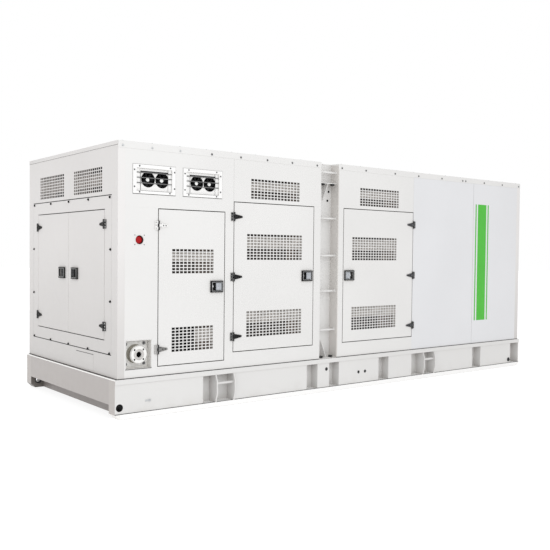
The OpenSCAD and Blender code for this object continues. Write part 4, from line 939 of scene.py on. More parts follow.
# Painted light: the seal is painted pale where it shows in the front doors' gaps.
seal_rubber = tint(flecked("seal_rubber", (0.025, 0.025, 0.026), 0.7, scale=60.0), (0.80, 0.79, 0.77),
                   X=(canopy_front, canopy_front + 0.1), Z=[base_top + level for level in LIT_SEAL_RISE])
felt_pad = flecked("felt_pad", (0.13, 0.13, 0.135), 0.95, scale=90.0, contrast=0.55, depth=0.0006)
finish_nodes(seal_rubber, "door_seal_frames")
for side, wall, doors in ((RIGHT, side_panel, RIGHT_DOORS), (FRONT, end_panel, FRONT_DOORS)):
    for door, ((near, far, foot, top), vents) in doors.items():
        finish_nodes(wall, door + "_leaf")
        levels = [foot + PAD_INSET]
        for vent in sorted(vents, key=lambda vent: vent.height):
            half = vent.rows * VENT_PITCH[1] / 2 + VENT_MARGIN
            levels += [vent.height - half, vent.height + half]
        levels.append(top - PAD_INSET)
        width = far - near - 2 * PAD_INSET
        columns = max(2, round((far - near) / PIN_SPACING))
        shape, pins = bmesh.new(), []
        for low, high in zip(levels[::2], levels[1::2]):
            if high - low < LEAST_PAD:
                continue
            bar(shape, (near + PAD_INSET, far - PAD_INSET), (LEAF_BACK - 1, LEAF_BACK + PAD_THICK),
                (low, high), 7, 3)
            rows = max(1, round((high - low) / PIN_SPACING))
            for i in range(columns):
                for j in range(rows):
                    along = near + PAD_INSET + width * (i + 0.5) / columns
                    height = low + (high - low) * (j + 0.5) / rows
                    pins.append((side, (along, LEAF_BACK + PAD_THICK, height), INWARDS))
        make_piece(door + "_pads", shape, side, felt_pad, door)
        fasten(door + "_pad_pins", pins, SPEED_WASHER, zinc_plate, door)

# ---------------------------------------------------------------- Vent meshes
# Woven wire mesh behind the rows of each vent that its baffle leaves open, in lit and shaded
# copies: brown where daylight reaches it, and dim or black further back as painted shade. A
# black sheet behind one vent and brown ribs behind the end vents are painted shade too. The
# baffle's end is folded back beside the last column.
WALL_VENTS = (Vent(1771, 1783, 15, 7, 3), Vent(3288, 1785, 15, 7, 3))
END_VENTS = tuple(Vent(across, 1802, 15, 8, 2) for across in (-438, 438))
MESH_FRONT, MESH_PITCH, MESH_THICK = 44, 7, 1.2
WIRE, CLOSE_WIRE = 3.2, 4.2
FIRST_LIT = {"wall": (13, 10), "right_door_1": (7, 7), "right_door_2": (13, 13), "right_door_3": (12, 11)}
END_LIT = 8
VALVE_COLUMNS = (5, 8)
RETURN_DEPTH = (3.5, 41.5)
SHADE_SHEET_COLUMNS, SHADE_SHEET_DEPTH = 6.4, (30, 33)
SHADE_RIB_DEPTH, SHADE_RIB_SIZE, SHADE_RIB_ROWS = 32.2, (16, 2.5), 4
mesh_brown = flecked("mesh_brown", (0.27, 0.215, 0.18), 0.7, scale=9.0, contrast=0.7)
mesh_shaded = flecked("mesh_shaded", (0.10, 0.08, 0.068), 0.7, scale=9.0, contrast=0.3)
mesh_black = flecked("mesh_black", (0.008, 0.008, 0.008), 0.6, scale=80.0, Specular_IOR_Level=0.15)
return_white = flecked("return_white", (0.72, 0.69, 0.66), 0.6, scale=20.0, contrast=0.9)


def vent_mesh(name, vent, finish, body, wire, columns, rows, side=RIGHT):
    """Woven mesh over some columns and rows of a vent."""
    first, last = columns
    low, high = rows
    width, rise = (last - first) * VENT_PITCH[0], (high - low) * VENT_PITCH[1]
    middle = vent.middle + (first + last - vent.columns) / 2 * VENT_PITCH[0]
    foot = vent.height + (low - vent.rows / 2) * VENT_PITCH[1]
    slat_row(name + "_uprights", side, (middle - width / 2, MESH_FRONT, foot + rise / 2), (MESH_PITCH, 0, 0),
             int(width / MESH_PITCH), (wire, MESH_THICK, rise), finish, body=body)
    slat_row(name + "_weft", side, (middle, MESH_FRONT + 1, foot + 2), (0, 0, MESH_PITCH),
             int(rise / MESH_PITCH), (width, MESH_THICK, wire), finish, body=body)


def open_rows(vent, at_top):
    """The rows that a baffle leaves open at the foot and at the top of a vent."""
    return ((0, vent.rows_open), "low"), ((vent.rows - at_top, vent.rows), "top")


def vent_return(shape, vent, end):
    """Folded end of a baffle, beside the last column of holes."""
    edge = vent.middle + end * vent.columns / 2 * VENT_PITCH[0]
    half = vent.rows / 2 * VENT_PITCH[1]
    bar(shape, (edge - 1.5, edge + 1.5), RETURN_DEPTH, (vent.height - half, vent.height + half), 0.4, 1)


shape = bmesh.new()
for vent in WALL_VENTS:
    vent_return(shape, vent, 1)
make_piece("wall_vent_returns", shape, RIGHT, return_white)
for name, side in (("front", FRONT), ("rear", REAR)):
    shape = bmesh.new()
    for vent in END_VENTS:
        vent_return(shape, vent, -1)
    make_piece("end_vent_returns_" + name, shape, side, return_white)
for door, (edges, vents) in RIGHT_DOORS.items():
    shape = bmesh.new()
    for vent in vents:
        vent_return(shape, vent, 1)
    make_piece(door + "_vent_returns", shape, RIGHT, return_white, door)
lower = RIGHT_DOORS["right_door_1"][1][1]
start = lower.middle - lower.columns / 2 * VENT_PITCH[0]
# Painted shade: a black sheet over the closed rows of the first door's lower vent.
shape = bmesh.new()
bar(shape, (start, start + SHADE_SHEET_COLUMNS * VENT_PITCH[0]), SHADE_SHEET_DEPTH,
    (lower.height + (lower.rows_open - lower.rows / 2) * VENT_PITCH[1],
     lower.height + lower.rows / 2 * VENT_PITCH[1]), 0.5, 1)
make_piece("right_door_1_vent_shade_sheet", shape, RIGHT, mesh_black, "right_door_1")
# Painted shade: the shaded copy of the mesh towards the near end of each vent.
for number, (vent, lit) in enumerate(zip(WALL_VENTS, FIRST_LIT["wall"]), 2):
    name = "wall_vent_%d" % number
    for rows, tag in open_rows(vent, 1):
        vent_mesh(name + "_dark_" + tag, vent, mesh_shaded, "root", WIRE, (0, lit), rows)
        vent_mesh(name + "_" + tag, vent, mesh_brown, "root", WIRE, (lit, vent.columns), rows)
for door, (edges, vents) in RIGHT_DOORS.items():
    for number, (vent, lit) in enumerate(zip(vents, FIRST_LIT[door]), 1):
        name = "%s_mesh_%d" % (door, number)
        lowest = vent is vents[-1]
        dark = mesh_black if lowest and door == "right_door_1" else mesh_shaded
        clear_of = VALVE_COLUMNS if lowest and door == "right_door_3" else (0, 0)
        for rows, tag in open_rows(vent, 1):
            vent_mesh(name + "_dark_" + tag, vent, dark, door, WIRE, (clear_of[1], lit), rows)
            if clear_of[0]:
                vent_mesh(name + "_near_" + tag, vent, dark, door, WIRE, (0, clear_of[0]), rows)
            vent_mesh(name + "_" + tag, vent, mesh_brown, door, WIRE, (lit, vent.columns), rows)
for end, side in (("front", FRONT), ("rear", REAR)):
    for number, vent in enumerate(END_VENTS, 1):
        name = "end_vent_%s_%d" % (end, number)
        for rows, tag in open_rows(vent, 2):
            vent_mesh(name + "_" + tag, vent, mesh_brown, "root", WIRE, (0, END_LIT), rows, side)
            vent_mesh(name + "_dark_" + tag, vent, mesh_black, "root", CLOSE_WIRE, (END_LIT, vent.columns),
                      rows, side)
        # Painted shade: brown ribs on the baffle at each column, for the shadows of the webs.
        first_rib = vent.middle - (vent.columns - 1) / 2 * VENT_PITCH[0]
        slat_row("end_vent_ribs_%s_%d" % (end, number), side, (first_rib, SHADE_RIB_DEPTH, vent.height),
                 (VENT_PITCH[0], 0, 0), vent.columns, (*SHADE_RIB_SIZE, SHADE_RIB_ROWS * VENT_PITCH[1]), mesh_brown)

# ---------------------------------------------------------------- Front door lips
# Folded edges that show in the gaps of the front doors, pale as a painted highlight: one on the
# frame beside each hinge line, and one on the right leaf where the two doors meet.
HINGE_LINE, LIP_HALF = 809, 2.6
MEETING_LIP = (-3.4, 6.4)
lip_highlight_grey = flecked("lip_highlight_grey", (0.80, 0.78, 0.76), 0.6, scale=20.0, contrast=0.95)
foot, top = FRONT_DOORS["front_door_left"][0][2:]
shape = bmesh.new()
for across in (-HINGE_LINE, HINGE_LINE):
    bar(shape, (across - LIP_HALF, across + LIP_HALF), (1, 7), (foot + 2, top - 2), 0.5, 1)
make_piece("front_door_hinge_lips", shape, FRONT, lip_highlight_grey)
shape = bmesh.new()
bar(shape, MEETING_LIP, (0.5, 7), (foot + 8, top - 8), 0.5, 1)
make_piece("front_door_meeting_lip", shape, FRONT, lip_highlight_grey, "front_door_right")

# ---------------------------------------------------------------- Hinges
# Strap hinges of passivated steel: a tapered dark wing bolted to the leaf, a bare grey plate on
# the frame and a black pin between them. Those of the first door and the front are painted over,
# and the first door's upper hinge is tinted far lighter than its lower as a painted highlight.
HINGES = {"right_door_1": (408, 1, (245, 1385)), "right_door_2": (1251, 1, (314, 904, 1497)),
          "right_door_3": (3858, -1, (299, 896, 1497)),
          "front_door_left": (-808, 1, (457, 1391)), "front_door_right": (808, -1, (457, 1391))}
PAINTED_OVER = ("right_door_1", "front_door_left", "front_door_right")
HINGE_HEIGHT = 80
WING_FACE, PIN_DEPTH = -6, -12
WING_BOLTS = ((24, 12), (24, -12), (50, 0), (76, 0))
FRAME_BOLT_REACH, FRAME_BOLTS = 26, (-27, 0, 27)
PIN_HALF, HINGE_REACH = 0.0085, 0.105
UPPER_HALF, LOWER_HALF = (base_top + 1.0, base_top + 2.0), (base_top, base_top + 1.0)
ON_FRONT = (canopy_front - 0.1, canopy_front + 0.1)


def reach_of(door, near, far):
    """The span of X between two distances from a door's hinge line, in metres."""
    place = canopy_front + HINGES[door][0] * MM
    return min(place + near, place + far), max(place + near, place + far)


black_steel = flecked("black_steel", (0.014, 0.014, 0.015), 0.45, contrast=0.55, Specular_IOR_Level=0.15)
wing_steel = flecked("wing_steel", (0.014, 0.014, 0.015), 0.45, contrast=0.55, Specular_IOR_Level=0.15)
first_wing = reach_of("right_door_1", 0.0, HINGE_REACH)
third_wing = reach_of("right_door_3", 0.0, -HINGE_REACH)
# Painted highlight: the first door's upper wing near white, its lower one dark grey.
tint(wing_steel, (0.76, 0.75, 0.74), X=first_wing, Z=UPPER_HALF)
tint(wing_steel, (0.21, 0.205, 0.20), X=first_wing, Z=LOWER_HALF)
tint(wing_steel, (0.085, 0.085, 0.09), X=third_wing)
plate_steel = flecked("plate_steel", (0.17, 0.17, 0.17), 0.45, metallic=0.3, contrast=0.4)
first_plate = reach_of("right_door_1", -HINGE_REACH, 0.02)
# Painted highlight: the first door's upper frame plate near white, its lower one mid grey.
tint(plate_steel, (0.80, 0.79, 0.78), X=first_plate, Z=UPPER_HALF)
tint(plate_steel, (0.44, 0.43, 0.42), X=first_plate, Z=LOWER_HALF)
for door in RIGHT_DOORS:
    tint(plate_steel, (0.02, 0.02, 0.02), X=reach_of(door, -PIN_HALF, PIN_HALF))
tint(plate_steel, (0.07, 0.07, 0.07), X=ON_FRONT)
for door in ("front_door_right", "front_door_left"):
    line = HINGES[door][0] * MM
    tint(plate_steel, (0.06, 0.06, 0.06), X=ON_FRONT, Y=(line - PIN_HALF, line + PIN_HALF))
dull_steel = flecked("dull_steel", (0.035, 0.034, 0.033), 0.5, scale=60.0, Specular_IOR_Level=0.2)
finish_nodes(black_steel, "left_door_hardware")
finish_nodes(wing_steel, *[door + "_hardware" for door in RIGHT_DOORS])
finish_nodes(dull_steel, *[door + "_hardware" for door in FRONT_DOORS])
finish_nodes(plate_steel, "hinge_frame_leaves")
painted_over = flecked("painted_over", (0.60, 0.59, 0.58), 0.5, scale=90.0)
M6_BOLT = fastener(6, 0.0050, 0.004, 0.86, 0.0060, 0.001)
PIN_CAP = fastener(16, 0.0062, 0.003, 0.7, 0.0078, 0.001)


def door_places(door):
    """Where a door stands: its side, its body, and what its pieces' names end in."""
    if door in FRONT_DOORS:
        return [(FRONT, door, "")]
    return [(RIGHT, door, ""), (LEFT, "root", "_left")]


pin_caps = []
for door, (line, towards, heights) in HINGES.items():
    for side, body, ending in door_places(door):
        painted = door in PAINTED_OVER and body != "root"
        wing_bolts = [(side, (line + towards * reach, WING_FACE, height + rise), OUT)
                      for height in heights for reach, rise in WING_BOLTS]
        frame_bolts = [(side, (line - towards * FRAME_BOLT_REACH, WING_FACE, height + rise), OUT)
                       for height in heights for rise in FRAME_BOLTS]
        pin_caps += [(side, (line, PIN_DEPTH, height + end * HINGE_HEIGHT / 2), (0, 0, end))
                     for height in heights for end in (-1, 1)]
        fasten(door + ending + "_wing_bolts", wing_bolts, M6_BOLT, dull_steel if painted else bolt_black,
               body)
        fasten(door + ending + "_frame_bolts", frame_bolts, M6_BOLT, painted_over if painted else bolt_black)
fasten("hinge_pin_caps", pin_caps, PIN_CAP, bolt_black)

# ---------------------------------------------------------------- Latches
# Flush paddle latches: a cast black bezel with a pale rim round its tray, painted as a highlight,
# two pale ramps on the tray's dark floor, painted as reflections of the bright room, and a pressed
# paddle with its lock barrel. Four screws hold each bezel.
LATCHES = {"right_door_1": (1050, 813, 1), "right_door_2": (2197, 906, 1), "right_door_3": (2814, 905, -1),
           "front_door_left": (-155, 925, 1), "front_door_right": (155, 925, -1)}
BEZEL_FACE = -14
TRAY_SPAN, TRAY_HALF, TRAY_FLOOR = (-54, 59), 41, 12
RIM = 4
RAMP_THICK = 7
UPPER_RAMP = ((-53.5, 40), (-46, 33), (-31, 1), (-36, -8), (-53.5, -8))
LOWER_RAMP = ((-53.5, -14), (-47, -16), (-43, -28), (-44, -40), (-53.5, -40))
PADDLE_SPAN, PADDLE_HALF, PADDLE_FACE = (-10, 53), 35, -10
LOCK_BARREL = (16, PADDLE_FACE, 8)
BEZEL_SCREW = fastener(12, 0.0030, 0.0022, 0.75, 0.0035, 0.0004)
BEZEL_SCREWS = [(across, BEZEL_FACE, height) for across in (-64.5, 66) for height in (-50, 50)]
latch_steel = flecked("latch_steel", (0.44, 0.46, 0.49), 0.38, metallic=0.3, scale=60.0, contrast=0.8)
# Painted highlight and reflection: the pale rim and the white ramps.
rim_highlight_grey = flecked("rim_highlight_grey", (0.44, 0.44, 0.44), 0.4, metallic=0.3, scale=60.0, contrast=0.6)
ramp_reflection_white = flecked("ramp_reflection_white", (0.86, 0.86, 0.86), 0.45, scale=60.0, contrast=0.7)
dark_steel = flecked("dark_steel", (0.022, 0.022, 0.023), 0.45, scale=60.0, contrast=0.7,
                     Specular_IOR_Level=0.15)
finish_nodes(latch_steel, *[door + "_latch" for door in RIGHT_DOORS])
finish_nodes(dark_steel, *[door + "_latch" for door in FRONT_DOORS])


def slab_of(shape, outline, front, back):
    """Adds a plate of an upright outline, between two depths."""
    ends = [[shape.verts.new((across, depth, height)) for across, height in outline]
            for depth in (front, back)]
    for i in range(len(outline)):
        j = (i + 1) % len(outline)
        shape.faces.new((ends[0][i], ends[0][j], ends[1][j], ends[1][i]))
    for end in ends:
        shape.faces.new(end)


def frame_of(shape, span, rise, width, depth, rounding, steps=2):
    """Adds four bars round an opening, inside its outer spans along and upwards."""
    (near, far), (foot, top) = span, rise
    between = (foot + width, top - width)
    for bar_span, bar_rise in ((span, (foot, foot + width)), (span, (top - width, top)),
                               ((near, near + width), between), ((far - width, far), between)):
        bar(shape, bar_span, depth, bar_rise, rounding, steps)


for door, (along, height, towards) in LATCHES.items():
    for side, body, ending in door_places(door):
        tag = door + ending
        here = side @ Matrix.Translation((along, 0, height)) @ Matrix.Diagonal((towards, 1, 1, 1))
        near, far = TRAY_SPAN
        shape = bmesh.new()
        frame_of(shape, (near - RIM, far + RIM), (-TRAY_HALF - RIM, TRAY_HALF + RIM), RIM,
                 (BEZEL_FACE - 3, BEZEL_FACE + 1), 1.2)
        make_piece(tag + "_latch_rim", shape, here, rim_highlight_grey, body)
        shape = bmesh.new()
        for outline in (UPPER_RAMP, LOWER_RAMP):
            if towards == -1:
                outline = [(near + PADDLE_SPAN[0] - across, height) for across, height in outline]
            slab_of(shape, outline, TRAY_FLOOR - RAMP_THICK, TRAY_FLOOR)
        make_piece(tag + "_latch_tray", shape, here, rim_highlight_grey if door in FRONT_DOORS else ramp_reflection_white, body)
        shape = bmesh.new()
        bar(shape, TRAY_SPAN, (TRAY_FLOOR - 3, TRAY_FLOOR + 0.5), (-TRAY_HALF, TRAY_HALF), 0.5, 1)
        make_piece(tag + "_finger_pocket", shape, here, mesh_black, body)
        near, far = PADDLE_SPAN
        shape = bmesh.new()
        bar(shape, (near + 5, far - 12), (PADDLE_FACE - 2, PADDLE_FACE + 1),
            (5 - PADDLE_HALF, PADDLE_HALF - 5), 1.8)
        turned(shape, [(0, 0), (8, 0), (8, 3), (6.5, 4), (3, 4), (3, 2.5), (0, 2.5)], LOCK_BARREL, OUT,
               steps=24)
        make_piece(tag + "_paddle_face", shape, here, dark_steel if door in FRONT_DOORS else latch_steel,
                   body if body == "root" else body + "_paddle")
        fasten(tag + "_bezel_screws", [(here, place, OUT) for place in BEZEL_SCREWS], BEZEL_SCREW, bolt_black,
               body)

# ---------------------------------------------------------------- Cabinet fans
# Four small axial fans in two boxes: a moulded rotor on a hub with a plain round sticker, behind
# guard bars on brackets. The boxes are flanged sheet on a gasket, held by round-headed screws.
# Their coat is a lighter copy of the wall paint, as painted light in the boxes, and black strips
# along the top, sides and foot of each opening are painted shade.
FAN_BOXES = (365, 886)
FAN_HEIGHT, FAN_SPACING, FAN_SHIFT = 1797, 145, 17
FLANGE_SCREWS = [(161, 1726), (161, 1878), (573, 1726), (573, 1878), (212, 1681), (525, 1681),
                 (212, 1914), (530, 1914), (686, 1726), (686, 1878), (1087, 1726), (1087, 1878),
                 (728, 1681), (1041, 1681), (728, 1914), (1041, 1914)]
FLANGE_HALF, BOX_INSIDE = (219, 131), (183, 99.5)
GASKET_DEPTH = (-1.4, 0.3)
PLATE_DEPTH, PLATE_SHADE_EDGES = (19, 20.5), {-134: 5, 176: 9}
BRACKET_WIDTH, BRACKET_DEPTH = 33, (12.2, 14.2)
ROTOR_FRONT = 29
fan_black = flecked("fan_black", (0.010, 0.010, 0.011), 0.5, scale=60.0, Specular_IOR_Level=0.15)
finish_nodes(fan_black, "fan_frames")
guard_grey = flecked("guard_grey", (0.20, 0.20, 0.20), 0.4, metallic=0.5, scale=60.0)
finish_nodes(guard_grey, "fan_guards")
# Painted light: the boxes' coat is lighter than the walls'.
box_brightened_white = powder_coat("box_brightened_white", (0.80, 0.79, 0.78), corner_shade=0.1)
finish_nodes(box_brightened_white, "fan_housings")
spots = [(RIGHT, (along, -3, height), OUT) for along, height in FLANGE_SCREWS]
fasten("fan_flange_screws", spots, DOME_RIVET, flake_grey)
box_foot, box_top = FAN_HEIGHT - BOX_INSIDE[1], FAN_HEIGHT + BOX_INSIDE[1]
shape = bmesh.new()
for along in FAN_BOXES:
    left, right = along - FLANGE_HALF[0] - 2, along + FLANGE_HALF[0] + 2
    foot, top = FAN_HEIGHT - FLANGE_HALF[1] - 5, FAN_HEIGHT + FLANGE_HALF[1] + 2
    for span, rise in (((left, right), (foot, foot + 8)), ((left, right), (top - 5, top)),
                       ((left, left + 5), (foot + 7, top - 4)), ((right - 5, right), (foot + 7, top - 4))):
        bar(shape, span, GASKET_DEPTH, rise, 0.5, 1)
    # Painted shade: black strips under the opening, along the plate's top and down its sides.
    bar(shape, (along - BOX_INSIDE[0], along + BOX_INSIDE[0]), (-3.6, -2.5),
        (box_foot - 6, box_foot - 3), 0.3, 1)
    bar(shape, (along + min(PLATE_SHADE_EDGES), along + BOX_INSIDE[0]), PLATE_DEPTH,
        (FAN_HEIGHT + 62, FAN_HEIGHT + 77), 0.6, 1)
    for edge, width in PLATE_SHADE_EDGES.items():
        bar(shape, (along + edge, along + edge + width), PLATE_DEPTH, (box_foot, FAN_HEIGHT + 70), 0.6, 1)
make_piece("fan_gaskets", shape, RIGHT, black_rubber)
shape = bmesh.new()
for along in FAN_BOXES:
    for near in (along - BOX_INSIDE[0], along + BOX_INSIDE[0] - BRACKET_WIDTH):
        bar(shape, (near, near + BRACKET_WIDTH), BRACKET_DEPTH, (box_foot, box_top), 0.8, 1)
make_piece("fan_guard_brackets", shape, RIGHT, box_brightened_white)
blade_tree, given = new_tree(
    "fan_blades", ("Count", "Int"), ("Hub radius", "Float"), ("Tip radius", "Float"), ("Chord", "Float"),
    ("Hub pitch", "Float"), ("Tip pitch", "Float"), ("Camber", "Float"), ("Thickness", "Float"))
span = sum_of(blade_tree, "SUBTRACT", given["Tip radius"], given["Hub radius"])
sheet = add_node(blade_tree, "GeometryNodeMeshGrid",
                 {"Size X": span, "Size Y": given["Chord"], "Vertices X": 9, "Vertices Y": 9}).outputs[0]
at = add_node(blade_tree, "ShaderNodeSeparateXYZ",
              {0: add_node(blade_tree, "GeometryNodeInputPosition").outputs[0]}).outputs
outwards = sum_of(blade_tree, "ADD", sum_of(blade_tree, "DIVIDE", at["X"], span), 0.5)
pitch = sum_of(blade_tree, "MULTIPLY_ADD", outwards,
               sum_of(blade_tree, "SUBTRACT", given["Tip pitch"], given["Hub pitch"]), given["Hub pitch"])
chordwise = sum_of(blade_tree, "DIVIDE", at["Y"], given["Chord"])
belly = sum_of(blade_tree, "MULTIPLY", given["Camber"],
               sum_of(blade_tree, "SUBTRACT", 0.25, sum_of(blade_tree, "MULTIPLY", chordwise, chordwise)))
sine, cosine = (sum_of(blade_tree, kind, pitch) for kind in ("SINE", "COSINE"))
side_step = sum_of(blade_tree, "SUBTRACT", sum_of(blade_tree, "MULTIPLY", at["Y"], cosine),
                   sum_of(blade_tree, "MULTIPLY", belly, sine))
lift = sum_of(blade_tree, "ADD", sum_of(blade_tree, "MULTIPLY", at["Y"], sine),
              sum_of(blade_tree, "MULTIPLY", belly, cosine))
reach = sum_of(blade_tree, "MULTIPLY_ADD", outwards, span, given["Hub radius"])
shaped = add_node(blade_tree, "ShaderNodeCombineXYZ", {"X": reach, "Y": side_step, "Z": lift}).outputs[0]
sheet = add_node(blade_tree, "GeometryNodeSetPosition", {"Geometry": sheet, "Position": shaped}).outputs[0]
thick = add_node(blade_tree, "GeometryNodeExtrudeMesh",
                 {"Mesh": sheet, "Offset Scale": given["Thickness"], "Individual": False}).outputs[0]
back = add_node(blade_tree, "GeometryNodeFlipFaces", {0: sheet}).outputs[0]
shell = add_node(blade_tree, "GeometryNodeJoinGeometry").outputs[0]
for part in (thick, back):
    blade_tree.links.new(part, shell.node.inputs[0])
blade = add_node(blade_tree, "GeometryNodeMergeByDistance",
                 {"Geometry": shell, "Distance": 0.00001}).outputs[0]
places = add_node(blade_tree, "GeometryNodeMeshLine", {"Count": given["Count"]}, mode="OFFSET").outputs[0]
blade_tree.links.new(add_node(blade_tree, "ShaderNodeCombineXYZ").outputs[0], places.node.inputs["Offset"])
number = add_node(blade_tree, "GeometryNodeInputIndex").outputs[0]
step_round = sum_of(blade_tree, "DIVIDE", 2 * math.pi, given["Count"])
round_turn = add_node(blade_tree, "ShaderNodeCombineXYZ",
                      {"Z": sum_of(blade_tree, "MULTIPLY", number, step_round)}).outputs[0]
blades = add_node(blade_tree, "GeometryNodeInstanceOnPoints",
                  {"Points": places, "Instance": blade, "Rotation": round_turn}).outputs[0]
end_tree(blade_tree, given, blades)
ROTOR = {"Count": 7, "Hub radius": 0.0255, "Tip radius": 0.0605, "Chord": 0.030, "Hub pitch": 0.75,
         "Tip pitch": 0.42, "Camber": 0.014, "Thickness": 0.0016}
blank_sticker = flecked("blank_sticker", (0.88, 0.88, 0.86), 0.5, scale=40.0, contrast=0.95)
fans = [box_at + FAN_SHIFT + half * FAN_SPACING for box_at in FAN_BOXES for half in (-0.5, 0.5)]
FACING_OUT = Matrix.Rotation(math.pi / 2, 4, "X")
for number, along in enumerate(fans, 1):
    body = "fan_%d" % number
    hub_face = (along, ROTOR_FRONT, FAN_HEIGHT)
    shaft = RIGHT @ Vector((along, ROTOR_FRONT + 10, FAN_HEIGHT))
    grow(body + "_blades", blade_tree, bpy.data.meshes.new(body), ROTOR, fan_black, body,
         turn=Matrix.Translation(shaft) @ FACING_OUT)
    shape = bmesh.new()
    turned(shape, [(5, 0), (5, -18), (25.6, -18), (26.8, -16), (26.8, -2), (24, 0)], hub_face, OUT, steps=40,
           hollow=True)
    hub = make_piece(body + "_hub", shape, RIGHT, fan_black, body)
    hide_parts("fan_rotor_%d" % number)
    shape = bmesh.new()
    turned(shape, [(0, -0.5), (17, -0.5), (17, 0.5), (0, 0.5)], hub_face, OUT)
    turned(shape, [(0, -0.3), (7, -0.3), (6, 1.4), (0, 1.8)], hub_face, OUT, steps=20)
    make_piece(body + "_sticker", shape, RIGHT, blank_sticker, body)

# ---------------------------------------------------------------- Gas inlet
# Weld-neck flange on the end of the gas pipe, bright-plated, in a folded box let into the wall.
# A back plate with four bolts holds it, and its raised face is turned with fine grooves. The box
# has a lighter copy of the wall paint, as painted light; a black blind and liners in the bore and
# bolt holes, a brown ring round the pipe on the back plate and a black strip along the box's
# foot are painted shade.
GAS = (213, 213)
GAS_PLATE, GAS_FACE, FLANGE_THICK = 76, -8, 22
GAS_BORE, BOLT_CIRCLE = 27, 125
BOX_HALF, HEM = 132, 6
GROOVES = (31, 35, 39, 43, 47)
BACK_BOLTS = 92
BACK_BOLT = fastener(6, 0.0115, 0.010, 0.88, 0.015, 0.003)


def at_inlet(depth, across=0, up=0):
    """A place by its distance from the middle of the gas inlet."""
    return GAS[0] + across, depth, GAS[1] + up


bright_plate = flecked("bright_plate", (0.80, 0.79, 0.77), 0.45, metallic=0.12, scale=30.0, contrast=0.9)
finish_nodes(bright_plate, "gas_inlet_flange")
# Painted light: the box is coated lighter than the walls.
box_brightened_coat = powder_coat("box_brightened_coat", (0.90, 0.885, 0.86), corner_shade=0.15)
finish_nodes(box_brightened_coat, "gas_inlet_box")
turned_steel = flecked("turned_steel", (0.56, 0.54, 0.52), 0.45, metallic=0.4, scale=25.0, contrast=0.8)
shape = bmesh.new()
turned(shape, [(28, -0.5), (50, -0.5), (50, 0.3), (28, 0.3)], at_inlet(GAS_FACE), OUT, steps=64, hollow=True)
for radius in GROOVES:
    turned(shape, [(radius - 0.9, -0.5), (radius + 0.9, -0.5), (radius + 0.4, 0.5), (radius - 0.4, 0.5)],
           at_inlet(GAS_FACE), OUT, steps=48, hollow=True)
turned(shape, [(78, -1), (82.5, -1), (82.5, 0), (80.5, 1.2), (78, 1.2)], at_inlet(GAS_FACE + 2), OUT,
       steps=64, hollow=True)
make_piece("gas_flange_face", shape, RIGHT, turned_steel)
# Painted shade: black blind and liners in the bore and bolt holes.
pipe_shade_black = flecked("pipe_shade_black", (0.012, 0.012, 0.012), 0.7, scale=40.0)
shape = bmesh.new()
turned(shape, [(0, 0), (GAS_BORE - 0.4, 0), (GAS_BORE - 0.4, 2), (0, 2)], at_inlet(118), OUT, steps=32)
turned(shape, [(GAS_BORE - 0.1, 0), (GAS_BORE - 0.1, 104), (GAS_BORE - 1.5, 104), (GAS_BORE - 1.5, 0)],
       at_inlet(112), OUT, steps=32, hollow=True)
for degree in (45, 135, 225, 315):
    hole = at_inlet(GAS_FACE + FLANGE_THICK - 1, BOLT_CIRCLE / 2 * math.cos(math.radians(degree)),
                    BOLT_CIRCLE / 2 * math.sin(math.radians(degree)))
    turned(shape, [(8.9, 0), (8.9, 17), (7.6, 17), (7.6, 0)], hole, OUT, steps=20, hollow=True)
make_piece("gas_bore_shade", shape, RIGHT, pipe_shade_black)
# Painted shade: a brown ring on the back plate round the pipe.
shade_ring_brown = flecked("shade_ring_brown", (0.34, 0.32, 0.27), 0.8, scale=20.0)
shape = bmesh.new()
turned(shape, [(30.2, -0.5), (86, -0.5), (86, 1.2), (30.2, 1.2)], at_inlet(GAS_PLATE), OUT, steps=64,
       hollow=True)
make_piece("gas_plate_shade_ring", shape, RIGHT, shade_ring_brown)
spots = [(RIGHT, at_inlet(GAS_PLATE, across, up), OUT) for across in (-BACK_BOLTS, BACK_BOLTS)
         for up in (-BACK_BOLTS, BACK_BOLTS)]
fasten("gas_back_bolts", spots, BACK_BOLT, flake_grey)
left, right = GAS[0] - BOX_HALF, GAS[0] + BOX_HALF
foot, top = GAS[1] - BOX_HALF, GAS[1] + BOX_HALF
# Painted shade: a black strip along the foot of the box.
shape = bmesh.new()
bar(shape, (left, right), (-2.2, 1), (foot - 1, foot + 5), 1, 1)
make_piece("gas_box_shade_strip", shape, RIGHT, black_rubber)
shape = bmesh.new()
frame_of(shape, (left, right), (foot, top), HEM, (-1.5, 1), 0.8, 1)
make_piece("gas_box_hem", shape, RIGHT, canopy_coat)

# ---------------------------------------------------------------- Stop button
# Dark-red mushroom head with a soft crown and a gripping rim, let back into a black moulded cup.
# The cup's bright lip laps the wall, and four small screws hold its corners.
STOP = (216, 1249)
HEAD_FRONT, HEAD_BACK, STEM_END = 14, 28, 46
CUP_RADIUS, CUP_FLOOR = 42, 40
CUP_SCREW = fastener(12, 0.0035, 0.0025, 0.75, 0.0048, 0.0008)
finish_nodes(dark_moulding, "stop_button_collar")
stop_red = flecked("stop_red", (0.40, 0.005, 0.008), 0.45, scale=80.0, contrast=0.8, Specular_IOR_Level=0.2)
shape = bmesh.new()
turned(shape, [(0, HEAD_BACK - STEM_END), (14, HEAD_BACK - STEM_END), (14, 0.5), (31, 0.5), (34, 1.5),
               (35, 3.5), (35, 7), (33.5, 10), (28, 12.4), (18, 13.7), (0, HEAD_BACK - HEAD_FRONT)],
       (STOP[0], HEAD_BACK, STOP[1]), OUT, steps=48)
head = make_piece("stop_head", shape, RIGHT, stop_red, "stop_button_head")
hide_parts("stop_button")
shape = bmesh.new()
